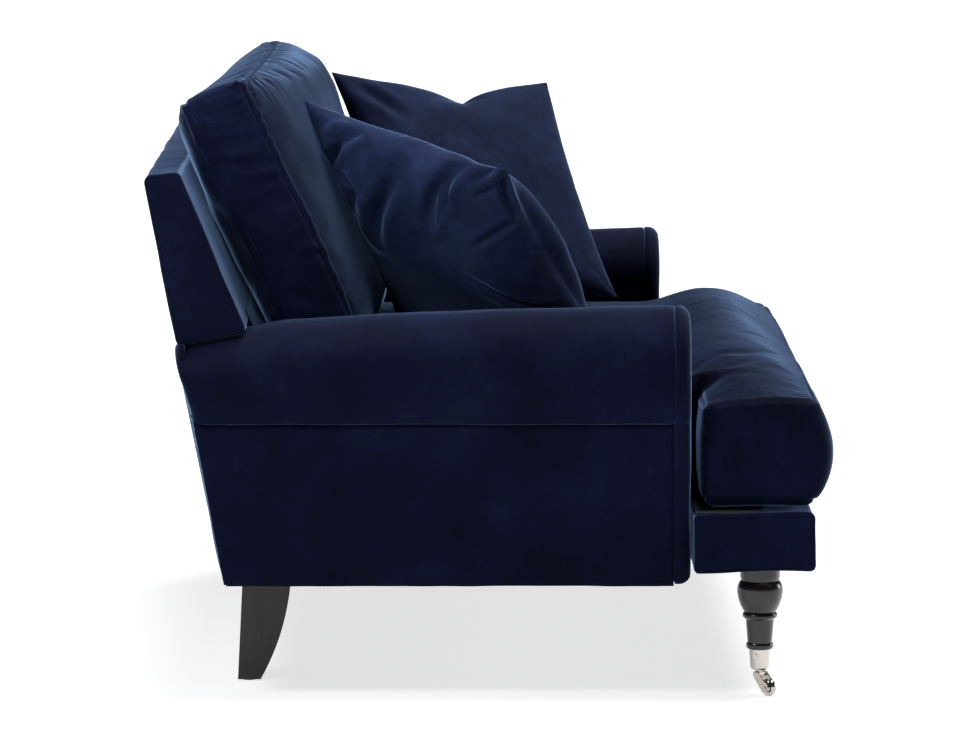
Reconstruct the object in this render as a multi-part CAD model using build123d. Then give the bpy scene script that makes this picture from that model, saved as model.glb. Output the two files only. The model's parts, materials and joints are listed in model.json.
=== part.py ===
from build123d import *
import math
import os

# A two-seat sofa with rolled arms, built as its frame, upholstery, loose cushions, legs and castors.
# Millimetres. X runs across the sofa, -Y is the front, +Z is up, and the floor is Z = 0.
# Each sub-part is one node: "left" is on -X and "right" is on +X.

# ---- Driving dimensions ----
WIDTH = 1300.0
DEPTH = 970.0
HALF_WIDTH = WIDTH / 2
FRONT_Y = -DEPTH / 2
REAR_Y = DEPTH / 2

CLOTH = 2.5  # thickness of a fabric cover with its lining
TOUCH = 0.2  # space between a cover and the filling inside it
TIMBER = 25.0  # thickness of a frame board

# Base and arms
BASE_BOTTOM_Z = 168.0
RAIL_TOP_Z = 260.0
DECK_TOP_Z = 270.5
ARM_FRONT_Y = -285.0
FACING_THICKNESS = 23.0
ARM_OUTER_X = HALF_WIDTH - 16
ARM_INNER_X = 508.0
ROLL_RADIUS = 74.0
ARM_TOP_Z = 558.0
ROLL_X = HALF_WIDTH - ROLL_RADIUS
ROLL_Z = ARM_TOP_Z - ROLL_RADIUS
ROLL_SEAM_Z = 397.0
ARM_REAR_LOW = (374.0, 165.0)
ARM_REAR_HIGH = (436.6, 512.0)
ARM_CREST = (99.0, 549.0)
REAR_COVER = 3.0

# Back section, as corners of its side outline (Y, Z)
BACK_REAR_TOP = (REAR_Y, 746.0)
BACK_FRONT_TOP = (433.3, 751.5)
BACK_FRONT_LOW = (338.0, 529.0)
BACK_REAR_LOW = (437.6, 512.0)
BACK_HALF_WIDTH = 620.0
TONGUE_FRONT_LOW = (235.6, 290.0)
TONGUE_REAR_LOW = (330.0, 290.0)
TONGUE_REAR_TOP = (418.0, 513.0)
TONGUE_HALF_WIDTH = 498.0
STILE_SETBACK = 58.0

# Front border
BORDER_HALF_WIDTH = HALF_WIDTH - 10
BORDER_FRONT_Y = -461.0
BORDER_REAR_Y = -290.0
BORDER_BOTTOM_Z = 184.0
BORDER_TOP_Z = 268.0

# Seat cushion
SEAT_HALF_WIDTH = 620.0
SEAT_STEM_HALF_WIDTH = 498.0
SEAT_FRONT_SEAM_Y = -462.0
SEAT_EAR_REAR_Y = -302.0
SEAT_REAR_Y = 222.0
SEAT_BOTTOM_Z = DECK_TOP_Z + 0.8
SEAT_SEAM_Z = 428.0
SEAT_CREST_Z = 495.0  # highest point of the side outline
SEAT_CROWN_Z = 502.0  # top of the arch from side to side, which trims the outline
SEAT_REAR_TOP_Z = 462.0

# Back cushion, in its own side plane: s runs up the incline and t runs to the front
BACK_CUSHION_ORIGIN = (265.0, 480.0)
BACK_CUSHION_INCLINE = 24.9
BACK_CUSHION_HALF_WIDTH = 500.0
BACK_CUSHION_BOTTOM = -30.0
BACK_CUSHION_TOP = 393.0
BACK_CUSHION_TOP_CROWN = 30.0
BACK_CUSHION_BORDER = 86.0
BACK_CUSHION_FRONT_CROWN = 70.0
BACK_CUSHION_REAR_CROWN = 32.0

# Scatter cushions: edge, thickness, centre, and the way each one faces
SCATTER_THICKNESS = 112.0
SCATTER_POSES = {
    "left": {"edge": 360.0, "centre": (-318.0, 32.0, 648.0), "turn": 52.0, "lean": 33.0, "spin": 5.0},
    "right": {"edge": 374.0, "centre": (222.0, -10.0, 668.0), "turn": -55.0, "lean": 29.0, "spin": -4.0},
}

# Legs and castors
FRONT_LEG_X = 578.0
FRONT_LEG_Y = -386.5
REAR_LEG_X = 443.0
REAR_LEG_THICKNESS = 33.0
GLIDE_THICKNESS = 2.0
CUP_TOP_Z = 67.0
CUP_BOTTOM_Z = 37.0
WHEEL_RADIUS = 12.5
WHEEL_WIDTH = 13.0
CASTOR_TRAIL = 16.0
CASTOR_HEADING = {"left": -41.0, "right": 25.0}
SWIVEL_PIN_RADIUS = 3.0
AXLE_RADIUS = 2.0
RUNNING_CLEARANCE = 0.05

SIDES = {"left": -1, "right": 1}


# ---- Building blocks ----
def block(x0, x1, y0, y1, z0, z1):
    """A box between two corners."""
    size = (x1 - x0, y1 - y0, z1 - z0)
    centre = ((x0 + x1) / 2, (y0 + y1) / 2, (z0 + z1) / 2)
    return Pos(*centre) * Box(*size)


def face_of(*edges):
    """A flat face inside a closed loop of lines and arcs."""
    loop = Curve() + list(edges)
    return make_face(loop)


def polygon(*points):
    """A flat face with straight sides."""
    return make_face(Polyline(*points, close=True))


def along_x(face, x0, x1):
    """A side outline (Y, Z) carried from x0 to x1."""
    return extrude(Plane.YZ.offset(x0) * face, amount=x1 - x0)


def along_y(face, y0, y1):
    """A front outline (X, Z) carried from y0 to y1."""
    plane = Plane(origin=(0, y1, 0), x_dir=(1, 0, 0), z_dir=(0, -1, 0))
    return extrude(plane * face, amount=y1 - y0)


def along_z(face, z0, z1):
    """A plan outline (X, Y) carried from z0 to z1."""
    return extrude(Plane.XY.offset(z0) * face, amount=z1 - z0)


def inset(face, amount):
    """The same outline, smaller by amount on every side."""
    return offset(face, amount=-amount, kind=Kind.INTERSECTION)


def upright_cylinder(x, y, z0, z1, radius):
    return Pos(x, y, (z0 + z1) / 2) * Cylinder(radius, z1 - z0)


def mirrored(part):
    return mirror(part, about=Plane.YZ)


def rake_y(z, front_by=0.0):
    """Y of the raked rear face at height z, or of a plane that far in front of it."""
    slope = (ARM_REAR_HIGH[0] - ARM_REAR_LOW[0]) / (ARM_REAR_HIGH[1] - ARM_REAR_LOW[1])
    return ARM_REAR_LOW[0] + slope * (z - ARM_REAR_LOW[1]) - front_by


def back_front_y(z):
    """Y of the back section's front face at height z."""
    slope = (BACK_FRONT_TOP[0] - BACK_FRONT_LOW[0]) / (BACK_FRONT_TOP[1] - BACK_FRONT_LOW[1])
    return BACK_FRONT_LOW[0] + slope * (z - BACK_FRONT_LOW[1])


# ---- Arms (built for +X, then mirrored) ----
def arm_front_outline():
    """The arm seen from the front: a flat side below and a roll above."""
    roll_side = (HALF_WIDTH, ROLL_Z)
    roll_top = (ROLL_X, ARM_TOP_Z)
    roll_inner = (ROLL_X - ROLL_RADIUS, ROLL_Z)
    diagonal = ROLL_RADIUS * math.sqrt(0.5)
    under_roll = (ARM_OUTER_X + 2, ROLL_SEAM_Z)
    return face_of(
        Line((ARM_INNER_X, BASE_BOTTOM_Z), (ARM_OUTER_X, BASE_BOTTOM_Z)),
        Line((ARM_OUTER_X, BASE_BOTTOM_Z), (ARM_OUTER_X, ROLL_SEAM_Z)),
        Line((ARM_OUTER_X, ROLL_SEAM_Z), under_roll),
        ThreePointArc(under_roll, (HALF_WIDTH - 2, 440), roll_side),
        ThreePointArc(roll_side, (ROLL_X + diagonal, ROLL_Z + diagonal), roll_top),
        ThreePointArc(roll_top, (ROLL_X - diagonal, ROLL_Z + diagonal), roll_inner),
        Line(roll_inner, (ARM_INNER_X, 400)),
        Line((ARM_INNER_X, 400), (ARM_INNER_X, BASE_BOTTOM_Z)),
    )


def arm_side_outline(front_y, rear_inset):
    """The arm seen from the side: a raked rear end and a top that falls towards the back."""
    front_top = (front_y, ARM_TOP_Z)
    rear_low = (rake_y(BASE_BOTTOM_Z, rear_inset), BASE_BOTTOM_Z)
    rear_high = (rake_y(ARM_REAR_HIGH[1], rear_inset), ARM_REAR_HIGH[1])
    return face_of(
        Line((front_y, BASE_BOTTOM_Z), rear_low),
        Line(rear_low, rear_high),
        Line(rear_high, BACK_FRONT_LOW),
        ThreePointArc(BACK_FRONT_LOW, ARM_CREST, front_top),
        Line(front_top, (front_y, BASE_BOTTOM_Z)),
    )


def arm_solid(skin):
    """The arm behind its facing, smaller by skin all round."""
    front_y = ARM_FRONT_Y + FACING_THICKNESS
    front = arm_front_outline()
    side = arm_side_outline(front_y, REAR_COVER)
    if skin:
        front = inset(front, skin)
        side = inset(side, skin)
    reach = along_y(front, front_y - 10, REAR_Y)
    return reach & along_x(side, ARM_INNER_X - 20, HALF_WIDTH + 20)


def arm_shell():
    """The arm's fabric, open towards the base frame and the facing."""
    front_y = ARM_FRONT_Y + FACING_THICKNESS
    shell = arm_solid(0) - arm_solid(CLOTH)
    base_opening = block(ARM_INNER_X - 30, 600, -400, REAR_Y, 0, RAIL_TOP_Z + 14)
    facing_end = along_y(inset(arm_front_outline(), CLOTH), front_y - 1, front_y + CLOTH + 1)
    return shell - base_opening - facing_end


def side_panel_region():
    return block(600, HALF_WIDTH + 10, -400, REAR_Y, 0, ROLL_SEAM_Z)


def make_side_panel():
    return arm_shell() & side_panel_region()


def make_arm_cover():
    return arm_shell() - side_panel_region() - back_bolt_solids(1)


def make_arm_facing():
    return along_y(arm_front_outline(), ARM_FRONT_Y, ARM_FRONT_Y + FACING_THICKNESS)


ARM_RAIL_Z = (440.0, 462.0)
POST_X = (585.0, 629.0)


def make_arm_padding():
    zone = block(400, 700, -400, REAR_Y, ARM_RAIL_Z[1], 600)
    return (arm_solid(CLOTH + TOUCH) & zone) - back_bolt_solids(1)


def make_arm_top_rail():
    rail = block(540, 612, ARM_FRONT_Y + 30, 400, *ARM_RAIL_Z)
    return rail - back_bolt_solids(1)


def make_arm_posts():
    """The front and rear posts that carry one arm's top rail."""
    front = ARM_FRONT_Y + 30
    front_post = block(*POST_X, front, front + 45, RAIL_TOP_Z, ARM_RAIL_Z[0])
    rear_post = block(*POST_X, 332, 377, RAIL_TOP_Z, ARM_RAIL_Z[0])
    return [front_post, rear_post]


# ---- Base frame ----
SIDE_RAIL_X = (604.0, 629.0)
RAIL_BOTTOM_Z = BASE_BOTTOM_Z + 3
MIDDLE_RAIL_Y = (-256.0, -231.0)
REAR_RAIL_Y = (341.0, 366.0)
FRONT_RAIL_Y = (BORDER_FRONT_Y + 12, BORDER_FRONT_Y + 12 + TIMBER)
BORDER_RAIL_BOTTOM_Z = BORDER_BOTTOM_Z + 3
STRETCHER_X = (-300.0, 300.0)
LEG_BOLT_RADIUS = 4.0


def make_side_rails():
    rail = block(*SIDE_RAIL_X, MIDDLE_RAIL_Y[0], REAR_RAIL_Y[1], RAIL_BOTTOM_Z, RAIL_TOP_Z)
    return [rail, mirrored(rail)]


def make_cross_rails():
    """The middle and rear rails between the side rails."""
    half = SIDE_RAIL_X[0] - 1
    return [block(-half, half, *rail_y, RAIL_BOTTOM_Z, RAIL_TOP_Z) for rail_y in (MIDDLE_RAIL_Y, REAR_RAIL_Y)]


def make_front_rail():
    half = BORDER_HALF_WIDTH - 8
    return block(-half, half, *FRONT_RAIL_Y, BORDER_RAIL_BOTTOM_Z, RAIL_TOP_Z)


def make_stretchers():
    """Boards that tie the front rail to the middle rail, under the seat's front."""
    half = TIMBER / 2
    return [
        block(x - half, x + half, FRONT_RAIL_Y[1], MIDDLE_RAIL_Y[0], 195, RAIL_TOP_Z) for x in STRETCHER_X
    ]


def leg_bolt_solids():
    bolts = []
    for sign in SIDES.values():
        bolts.append(upright_cylinder(sign * FRONT_LEG_X, FRONT_LEG_Y, 146, 222, LEG_BOLT_RADIUS))
        bolts.append(upright_cylinder(sign * REAR_LEG_X, 318, 130, 206, LEG_BOLT_RADIUS))
    return bolts


def make_leg_blocks():
    """Timber blocks in the base that the leg bolts screw into."""
    front_bottom = BORDER_RAIL_BOTTOM_Z
    blocks = []
    for sign in SIDES.values():
        x = sign * FRONT_LEG_X
        blocks.append(block(x - 45, x + 45, FRONT_RAIL_Y[1], FRONT_LEG_Y + 45, front_bottom, 225))
        x = sign * REAR_LEG_X
        blocks.append(block(x - 45, x + 45, 270, REAR_RAIL_Y[0], RAIL_BOTTOM_Z, 210))
    return drilled(blocks, leg_bolt_solids())


def drilled(parts, tools):
    """Each part with every tool cut out of it."""
    results = []
    for part in parts:
        for tool in tools:
            part = part - tool
        results.append(part)
    return results


def make_dust_cover():
    cover = block(-599, 599, MIDDLE_RAIL_Y[0], REAR_RAIL_Y[1], BASE_BOTTOM_Z + 1, BASE_BOTTOM_Z + 2.8)
    return drilled([cover], leg_bolt_solids())[0]


# ---- Seat springing ----
SPRING_WIRE = 4.0
SPRING_PITCH = 34.0
SPRING_HALF_SWING = 24.0
SPRING_X = [-420 + 140 * i for i in range(7)]
SPRING_SPAN = (MIDDLE_RAIL_Y[0] + 8, REAR_RAIL_Y[1] - 8)
CLIP_THICKNESS = 2.5


def make_springs():
    """Zigzag wires from the middle rail to the rear rail, cut square for simplicity."""
    count = int((SPRING_SPAN[1] - SPRING_SPAN[0]) / SPRING_PITCH)
    pitch = (SPRING_SPAN[1] - SPRING_SPAN[0]) / count
    points = []
    for i in range(count + 1):
        swing = SPRING_HALF_SWING * (1 if i % 2 else -1)
        y = SPRING_SPAN[0] + i * pitch
        points.append((-swing, y))
        points.append((swing, y))
    path = FilletPolyline(*points, radius=8)
    wire = along_z(trace(path, line_width=SPRING_WIRE), RAIL_TOP_Z, RAIL_TOP_Z + SPRING_WIRE)
    return [Pos(x, 0, 0) * wire for x in SPRING_X]


def make_spring_clips():
    base = RAIL_TOP_Z + SPRING_WIRE
    clips = []
    for x in SPRING_X:
        for y in SPRING_SPAN:
            clips.append(block(x - 10, x + 10, y - 6, y + 6, base, base + CLIP_THICKNESS))
    return clips


def make_deck():
    """Platform cloth over the springs, T-shaped like the cushion that lies on it."""
    base = BORDER_TOP_Z
    stem = block(-503, 503, BORDER_FRONT_Y + 8, REAR_RAIL_Y[0] - 5, base, DECK_TOP_Z)
    ears = block(-630, 630, BORDER_FRONT_Y + 8, BORDER_REAR_Y - 2, base, DECK_TOP_Z)
    return stem + ears


# ---- Front border ----
def make_border_cover():
    """Fabric round the front border, open at the rear between the arms."""
    outer = block(
        -BORDER_HALF_WIDTH, BORDER_HALF_WIDTH, BORDER_FRONT_Y, BORDER_REAR_Y, BORDER_BOTTOM_Z, BORDER_TOP_Z
    )
    edges = outer.edges().filter_by(Axis.X) + outer.edges().filter_by(Axis.Z)
    outer = fillet(edges, 7)
    inner = block(
        -BORDER_HALF_WIDTH + CLOTH,
        BORDER_HALF_WIDTH - CLOTH,
        BORDER_FRONT_Y + CLOTH,
        BORDER_REAR_Y - CLOTH,
        BORDER_BOTTOM_Z + CLOTH,
        BORDER_TOP_Z - CLOTH,
    )
    inner = fillet(inner.edges().filter_by(Axis.X) + inner.edges().filter_by(Axis.Z), 4.5)
    rear_opening = block(-500, 500, BORDER_REAR_Y - 10, BORDER_REAR_Y + 10, 192, 262)
    return drilled([outer - inner - rear_opening], leg_bolt_solids())[0]


def make_border_padding():
    """Foam strip on the front of the front rail."""
    half = BORDER_HALF_WIDTH - 8
    return block(-half, half, BORDER_FRONT_Y + 3, FRONT_RAIL_Y[0], BORDER_RAIL_BOTTOM_Z + 2, RAIL_TOP_Z)


# ---- Back section ----
def wedge_outline():
    return polygon(BACK_REAR_TOP, BACK_FRONT_TOP, BACK_FRONT_LOW, BACK_REAR_LOW)


def middle_outline():
    """The back section between the arms, where it reaches down to the platform."""
    return polygon(
        BACK_REAR_TOP, BACK_FRONT_TOP, TONGUE_FRONT_LOW, TONGUE_REAR_LOW, TONGUE_REAR_TOP, BACK_REAR_LOW
    )


def back_solid(skin):
    wedge = wedge_outline()
    middle = middle_outline()
    if skin:
        wedge = inset(wedge, skin)
        middle = inset(middle, skin)
    wide = BACK_HALF_WIDTH - skin
    narrow = TONGUE_HALF_WIDTH - skin
    return along_x(wedge, -wide, wide) + along_x(middle, -narrow, narrow)


def make_back_cover():
    cover = back_solid(0) - back_solid(CLOTH)
    return cover - back_bolt_solids(1) - back_bolt_solids(-1)


STILE_X = (455.0, 485.0)
BACK_FRAME_SPLIT_Z = 668.0
WING_RAIL_Z = (522.0, 560.0)


def stile_front_y(z):
    """Y of the back frame's front plane, set back from the section's front face for the foam."""
    return back_front_y(z) + STILE_SETBACK


def stile_rear_y(z):
    """Y of the back frame's rear plane, just inside the rear fabric."""
    low_y, low_z = BACK_REAR_LOW
    top_y, top_z = BACK_REAR_TOP
    return low_y + (top_y - low_y) * (z - low_z) / (top_z - low_z) - 5


def back_frame_strip(z0, z1):
    """The part of the back frame's side outline between two heights above the arms."""
    return polygon(
        (stile_front_y(z0) - 18, z0),
        (stile_rear_y(z0), z0),
        (stile_rear_y(z1), z1),
        (stile_front_y(z1) - 18, z1),
    )


def tongue_strip(z0, z1):
    """The part of the back frame's side outline between two heights below the arms' tops."""
    slope = (TONGUE_REAR_TOP[0] - TONGUE_REAR_LOW[0]) / (TONGUE_REAR_TOP[1] - TONGUE_REAR_LOW[1])
    low = TONGUE_REAR_LOW[0] + slope * (z0 - TONGUE_REAR_LOW[1]) - 5
    high = TONGUE_REAR_LOW[0] + slope * (z1 - TONGUE_REAR_LOW[1]) - 5
    return polygon((low - 26, z0), (low, z0), (high, z1), (high - 26, z1))


def make_back_stile():
    upper = along_x(back_frame_strip(500, BACK_FRAME_SPLIT_Z - 1), *STILE_X)
    lower = along_x(tongue_strip(296, 505), *STILE_X)
    return (upper + lower) & back_solid(CLOTH + TOUCH)


def make_back_top_rail():
    half = BACK_HALF_WIDTH - 6
    return along_x(back_frame_strip(BACK_FRAME_SPLIT_Z, 738), -half, half)


def make_back_bottom_rail():
    half = STILE_X[0] - 0.5
    return along_x(tongue_strip(296, 366), -half, half)


def make_back_wing_rails():
    """Short rails over the arms, which the back's fixing bolts pass through."""
    strip = along_x(back_frame_strip(*WING_RAIL_Z), STILE_X[1] + 0.5, BACK_HALF_WIDTH - 6)
    rail = (strip & back_solid(CLOTH + TOUCH)) - back_bolt_solids(1)
    return [rail, mirrored(rail)]


def back_bolt_solids(sign):
    """Two bolts down through one end of the back section into the arm's rear post and top rail."""
    shank = upright_cylinder(sign * 598, 388, 446, 566, 4)
    head = upright_cylinder(sign * 598, 388, 560, 566, 9)
    return shank + head


def make_webbing():
    """Straps across the back frame, in the space between the stiles and the padding."""
    straps = []
    for z in (590, 625, 705):
        strap = polygon(
            (stile_front_y(z - 14) - 21.5, z - 14),
            (stile_front_y(z - 14) - 19.5, z - 14),
            (stile_front_y(z + 14) - 19.5, z + 14),
            (stile_front_y(z + 14) - 21.5, z + 14),
        )
        straps.append(along_x(strap, -480, 480))
    return straps


def make_back_padding():
    """Foam on the front of the back frame."""
    low_z = 296.0
    high_z = 744.0
    front = polygon(
        (back_front_y(low_z) - 20, low_z),
        (back_front_y(low_z) + 30, low_z),
        (back_front_y(high_z) + 18, high_z),
        (back_front_y(high_z) - 20, high_z),
    )
    slab = along_x(front, -BACK_HALF_WIDTH, BACK_HALF_WIDTH)
    return slab & back_solid(CLOTH + TOUCH)


def make_rear_cover():
    """The raked outside back of the base, with the ends of the arm rolls."""
    low_z = BASE_BOTTOM_Z
    high_z = ARM_REAR_HIGH[1]
    sheet = polygon(
        (rake_y(low_z, REAR_COVER), low_z),
        (rake_y(low_z), low_z),
        (rake_y(high_z), high_z),
        (rake_y(high_z, REAR_COVER), high_z),
    )
    arm_end = along_y(arm_front_outline(), 300, REAR_Y)
    centre = block(-ARM_INNER_X - 1, ARM_INNER_X + 1, 300, REAR_Y, BASE_BOTTOM_Z, high_z)
    return along_x(sheet, -HALF_WIDTH - 5, HALF_WIDTH + 5) & (centre + arm_end + mirrored(arm_end))


# ---- Seat cushion ----
def seat_cushion_solid(skin):
    front_bulge = (FRONT_Y, 350)
    seam = (SEAT_FRONT_SEAM_Y, SEAT_SEAM_Z)
    crest = (-330, SEAT_CREST_Z)
    rear_top = (SEAT_REAR_Y, SEAT_REAR_TOP_Z)
    front_low = (SEAT_FRONT_SEAM_Y + 2, SEAT_BOTTOM_Z)
    rear_low = (SEAT_REAR_Y, SEAT_BOTTOM_Z)
    side = face_of(
        ThreePointArc(front_low, front_bulge, seam),
        ThreePointArc(seam, (-404, 477), crest),
        Line(crest, rear_top),
        Line(rear_top, rear_low),
        Line(rear_low, front_low),
    )
    plan = polygon(
        (-SEAT_HALF_WIDTH, FRONT_Y - 5),
        (SEAT_HALF_WIDTH, FRONT_Y - 5),
        (SEAT_HALF_WIDTH, SEAT_EAR_REAR_Y),
        (SEAT_STEM_HALF_WIDTH, SEAT_EAR_REAR_Y),
        (SEAT_STEM_HALF_WIDTH, SEAT_REAR_Y),
        (-SEAT_STEM_HALF_WIDTH, SEAT_REAR_Y),
        (-SEAT_STEM_HALF_WIDTH, SEAT_EAR_REAR_Y),
        (-SEAT_HALF_WIDTH, SEAT_EAR_REAR_Y),
    )
    if skin:
        side = inset(side, skin)
        plan = inset(plan, skin)
    rise = SEAT_CROWN_Z - SEAT_SEAM_Z
    crown_radius = (SEAT_HALF_WIDTH**2 + rise**2) / (2 * rise)
    crown = Pos(0, 0, SEAT_CROWN_Z - crown_radius) * Rot(90, 0, 0) * Cylinder(crown_radius - skin, 2 * DEPTH)
    body = along_x(side, -SEAT_HALF_WIDTH, SEAT_HALF_WIDTH) & along_z(plan, 0, 600)
    return body & crown


ZIP_HALF_LENGTH = 440.0
ZIP_Z = (338.0, 366.0)
ZIP_THICKNESS = 1.5
ZIP_SLIDER_REST_X = -430.0
ZIP_SLIDER_GAP = 0.4


def make_zip():
    rear = SEAT_REAR_Y
    tape = block(-ZIP_HALF_LENGTH, ZIP_HALF_LENGTH, rear, rear + ZIP_THICKNESS, *ZIP_Z)
    teeth_z = (ZIP_Z[0] + ZIP_Z[1]) / 2
    teeth = block(
        -ZIP_HALF_LENGTH, ZIP_HALF_LENGTH, rear + ZIP_THICKNESS, rear + 2.5, teeth_z - 2.5, teeth_z + 2.5
    )
    return tape + teeth


def make_zip_slider():
    y = SEAT_REAR_Y + 2.5 + ZIP_SLIDER_GAP
    z = (ZIP_Z[0] + ZIP_Z[1]) / 2
    x = ZIP_SLIDER_REST_X
    body = block(x - 6, x + 6, y, y + 2.5, z - 4, z + 4)
    pull = block(x - 2.5, x + 2.5, y + 0.5, y + 1.7, z - 24, z - 3)
    return body + pull


# ---- Back cushion ----
def to_incline(face_solid):
    """Moves a solid from the cushion's own frame (X, t to the front, s up) onto the incline."""
    y, z = BACK_CUSHION_ORIGIN
    return Pos(0, y, z) * Rot(-BACK_CUSHION_INCLINE, 0, 0) * face_solid


def back_cushion_solid(skin):
    """A box cushion with a full front, a shallower rear and a raised top."""
    middle_s = (BACK_CUSHION_BOTTOM + BACK_CUSHION_TOP) / 2
    top_s = BACK_CUSHION_TOP + BACK_CUSHION_TOP_CROWN
    low_rear = (0, BACK_CUSHION_BOTTOM)
    low_front = (-BACK_CUSHION_BORDER, BACK_CUSHION_BOTTOM)
    top_rear = (0, top_s)
    top_front = (-BACK_CUSHION_BORDER, top_s)
    side = face_of(
        ThreePointArc(low_rear, (BACK_CUSHION_REAR_CROWN, middle_s), top_rear),
        Line(top_rear, top_front),
        ThreePointArc(top_front, (-BACK_CUSHION_BORDER - BACK_CUSHION_FRONT_CROWN, middle_s), low_front),
        Line(low_front, low_rear),
    )
    half = BACK_CUSHION_HALF_WIDTH
    front = face_of(
        Line((-half, BACK_CUSHION_BOTTOM), (half, BACK_CUSHION_BOTTOM)),
        Line((half, BACK_CUSHION_BOTTOM), (half, BACK_CUSHION_TOP)),
        ThreePointArc((half, BACK_CUSHION_TOP), (0, top_s), (-half, BACK_CUSHION_TOP)),
        Line((-half, BACK_CUSHION_TOP), (-half, BACK_CUSHION_BOTTOM)),
    )
    crown_y = -BACK_CUSHION_BORDER - BACK_CUSHION_FRONT_CROWN
    plan = face_of(
        Line((-half, 60), (half, 60)),
        Line((half, 60), (half, -BACK_CUSHION_BORDER)),
        ThreePointArc((half, -BACK_CUSHION_BORDER), (0, crown_y), (-half, -BACK_CUSHION_BORDER)),
        Line((-half, -BACK_CUSHION_BORDER), (-half, 60)),
    )
    if skin:
        side = inset(side, skin)
        front = inset(front, skin)
        plan = inset(plan, skin)
    body = along_x(side, -half, half)
    body = body & along_y(front, -300, 100)
    return to_incline(body & along_z(plan, -100, 500))


# ---- Scatter cushions ----
def lens(edge, thickness):
    """A square knife-edge cushion lying flat, thickest in the middle."""
    half = edge / 2
    section = face_of(
        ThreePointArc((-half, 0), (0, thickness / 2), (half, 0)),
        ThreePointArc((half, 0), (0, -thickness / 2), (-half, 0)),
    )
    one_way = along_y(section, -half, half)
    return one_way & (Rot(0, 0, 90) * one_way)


def place_scatter(solid, pose):
    """Stands a flat cushion up, leans it back and turns it towards the middle of the sofa."""
    stand = Rot(90 - pose["lean"], 0, 0) * Rot(0, 0, pose["spin"])
    return Pos(*pose["centre"]) * Rot(0, 0, pose["turn"]) * stand * solid


def make_scatter(pose):
    """The cover and the pad of one scatter cushion."""
    outer = lens(pose["edge"], SCATTER_THICKNESS)
    inner = lens(pose["edge"] - 14, SCATTER_THICKNESS - 2 * CLOTH)
    pad = lens(pose["edge"] - 16, SCATTER_THICKNESS - 2 * CLOTH - 1)
    return place_scatter(outer - inner, pose), place_scatter(pad, pose)


# ---- Legs ----
def turned(*profile):
    """A turned piece from its (radius, height) profile, closed on the axis."""
    return revolve(Plane.XZ * polygon(*profile), axis=Axis.Z)


PEG_RADIUS = 10.5
SCREW_TURN = 28.0


def front_leg_profile():
    """The turned leg from its collar down to the peg inside the castor cup."""
    ball_top = (27.0, 166.0)
    ball_side = (32.7, 150.0)
    ball_low = (22.0, 119.5)
    return face_of(
        Line((0, BORDER_BOTTOM_Z), (28.5, BORDER_BOTTOM_Z)),
        Line((28.5, BORDER_BOTTOM_Z), (28.5, 171)),
        Line((28.5, 171), ball_top),
        ThreePointArc(ball_top, (31.5, 159), ball_side),
        ThreePointArc(ball_side, (29.0, 133), ball_low),
        Line(ball_low, (24.0, 118.5)),
        ThreePointArc((24.0, 118.5), (25.0, 115.3), (23.0, 112)),
        Line((23.0, 112), (20.2, 109.5)),
        Line((20.2, 109.5), (17.4, 76.5)),
        Line((17.4, 76.5), (18.5, 75.8)),
        ThreePointArc((18.5, 75.8), (19.6, 72), (17.5, CUP_TOP_Z + 0.2)),
        Line((17.5, CUP_TOP_Z + 0.2), (PEG_RADIUS, CUP_TOP_Z + 0.2)),
        Line((PEG_RADIUS, CUP_TOP_Z + 0.2), (PEG_RADIUS, CUP_BOTTOM_Z + 6)),
        Line((PEG_RADIUS, CUP_BOTTOM_Z + 6), (0, CUP_BOTTOM_Z + 6)),
        Line((0, CUP_BOTTOM_Z + 6), (0, BORDER_BOTTOM_Z)),
    )


def at_front_leg(sign, part):
    return Pos(sign * FRONT_LEG_X, FRONT_LEG_Y, 0) * part


def castor_screw():
    """A cross-head screw through the cup's wall into the leg's peg, pointing at -X before it is turned."""
    shank = Pos(-12, 0, 58) * Rot(0, 90, 0) * Cylinder(1.5, 8)
    head = Pos(-15.4, 0, 58) * Rot(0, 90, 0) * Cylinder(3.2, 1.8)
    slot_a = Pos(-16.3, 0, 58) * Box(1.2, 3.8, 0.9)
    slot_b = Pos(-16.3, 0, 58) * Box(1.2, 0.9, 3.8)
    screw = (shank + head) - slot_a - slot_b
    return Rot(0, 0, -SCREW_TURN) * screw


def make_front_leg(sign):
    leg = revolve(Plane.XZ * front_leg_profile(), axis=Axis.Z)
    leg = at_front_leg(sign, leg)
    screw_hole = at_front_leg(sign, castor_screw())
    return drilled([leg], [screw_hole] + leg_bolt_solids())[0]


def make_rear_leg(sign):
    """A sabre leg that sweeps back to a narrow foot."""
    x = sign * REAR_LEG_X
    half = REAR_LEG_THICKNESS / 2
    top_front = (283.0, BASE_BOTTOM_Z)
    top_rear = (352.5, BASE_BOTTOM_Z)
    foot_front = (328.0, GLIDE_THICKNESS)
    foot_rear = (360.8, GLIDE_THICKNESS)
    side = face_of(
        ThreePointArc(top_front, (299.0, 68.7), foot_front),
        Line(foot_front, foot_rear),
        Line(foot_rear, top_rear),
        Line(top_rear, top_front),
    )
    return drilled([along_x(side, x - half, x + half)], leg_bolt_solids())[0]


def make_rear_glides():
    return [upright_cylinder(sign * REAR_LEG_X, 344.5, 0, GLIDE_THICKNESS, 11) for sign in SIDES.values()]


# ---- Castors, built about their swivel axis with the wheel trailing towards -Y ----
CROWN_Z = (30.4, 33.6)
PIN_HEAD_Z = (26.4, 30.0)
CHEEK_X = (8.0, 10.2)


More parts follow.
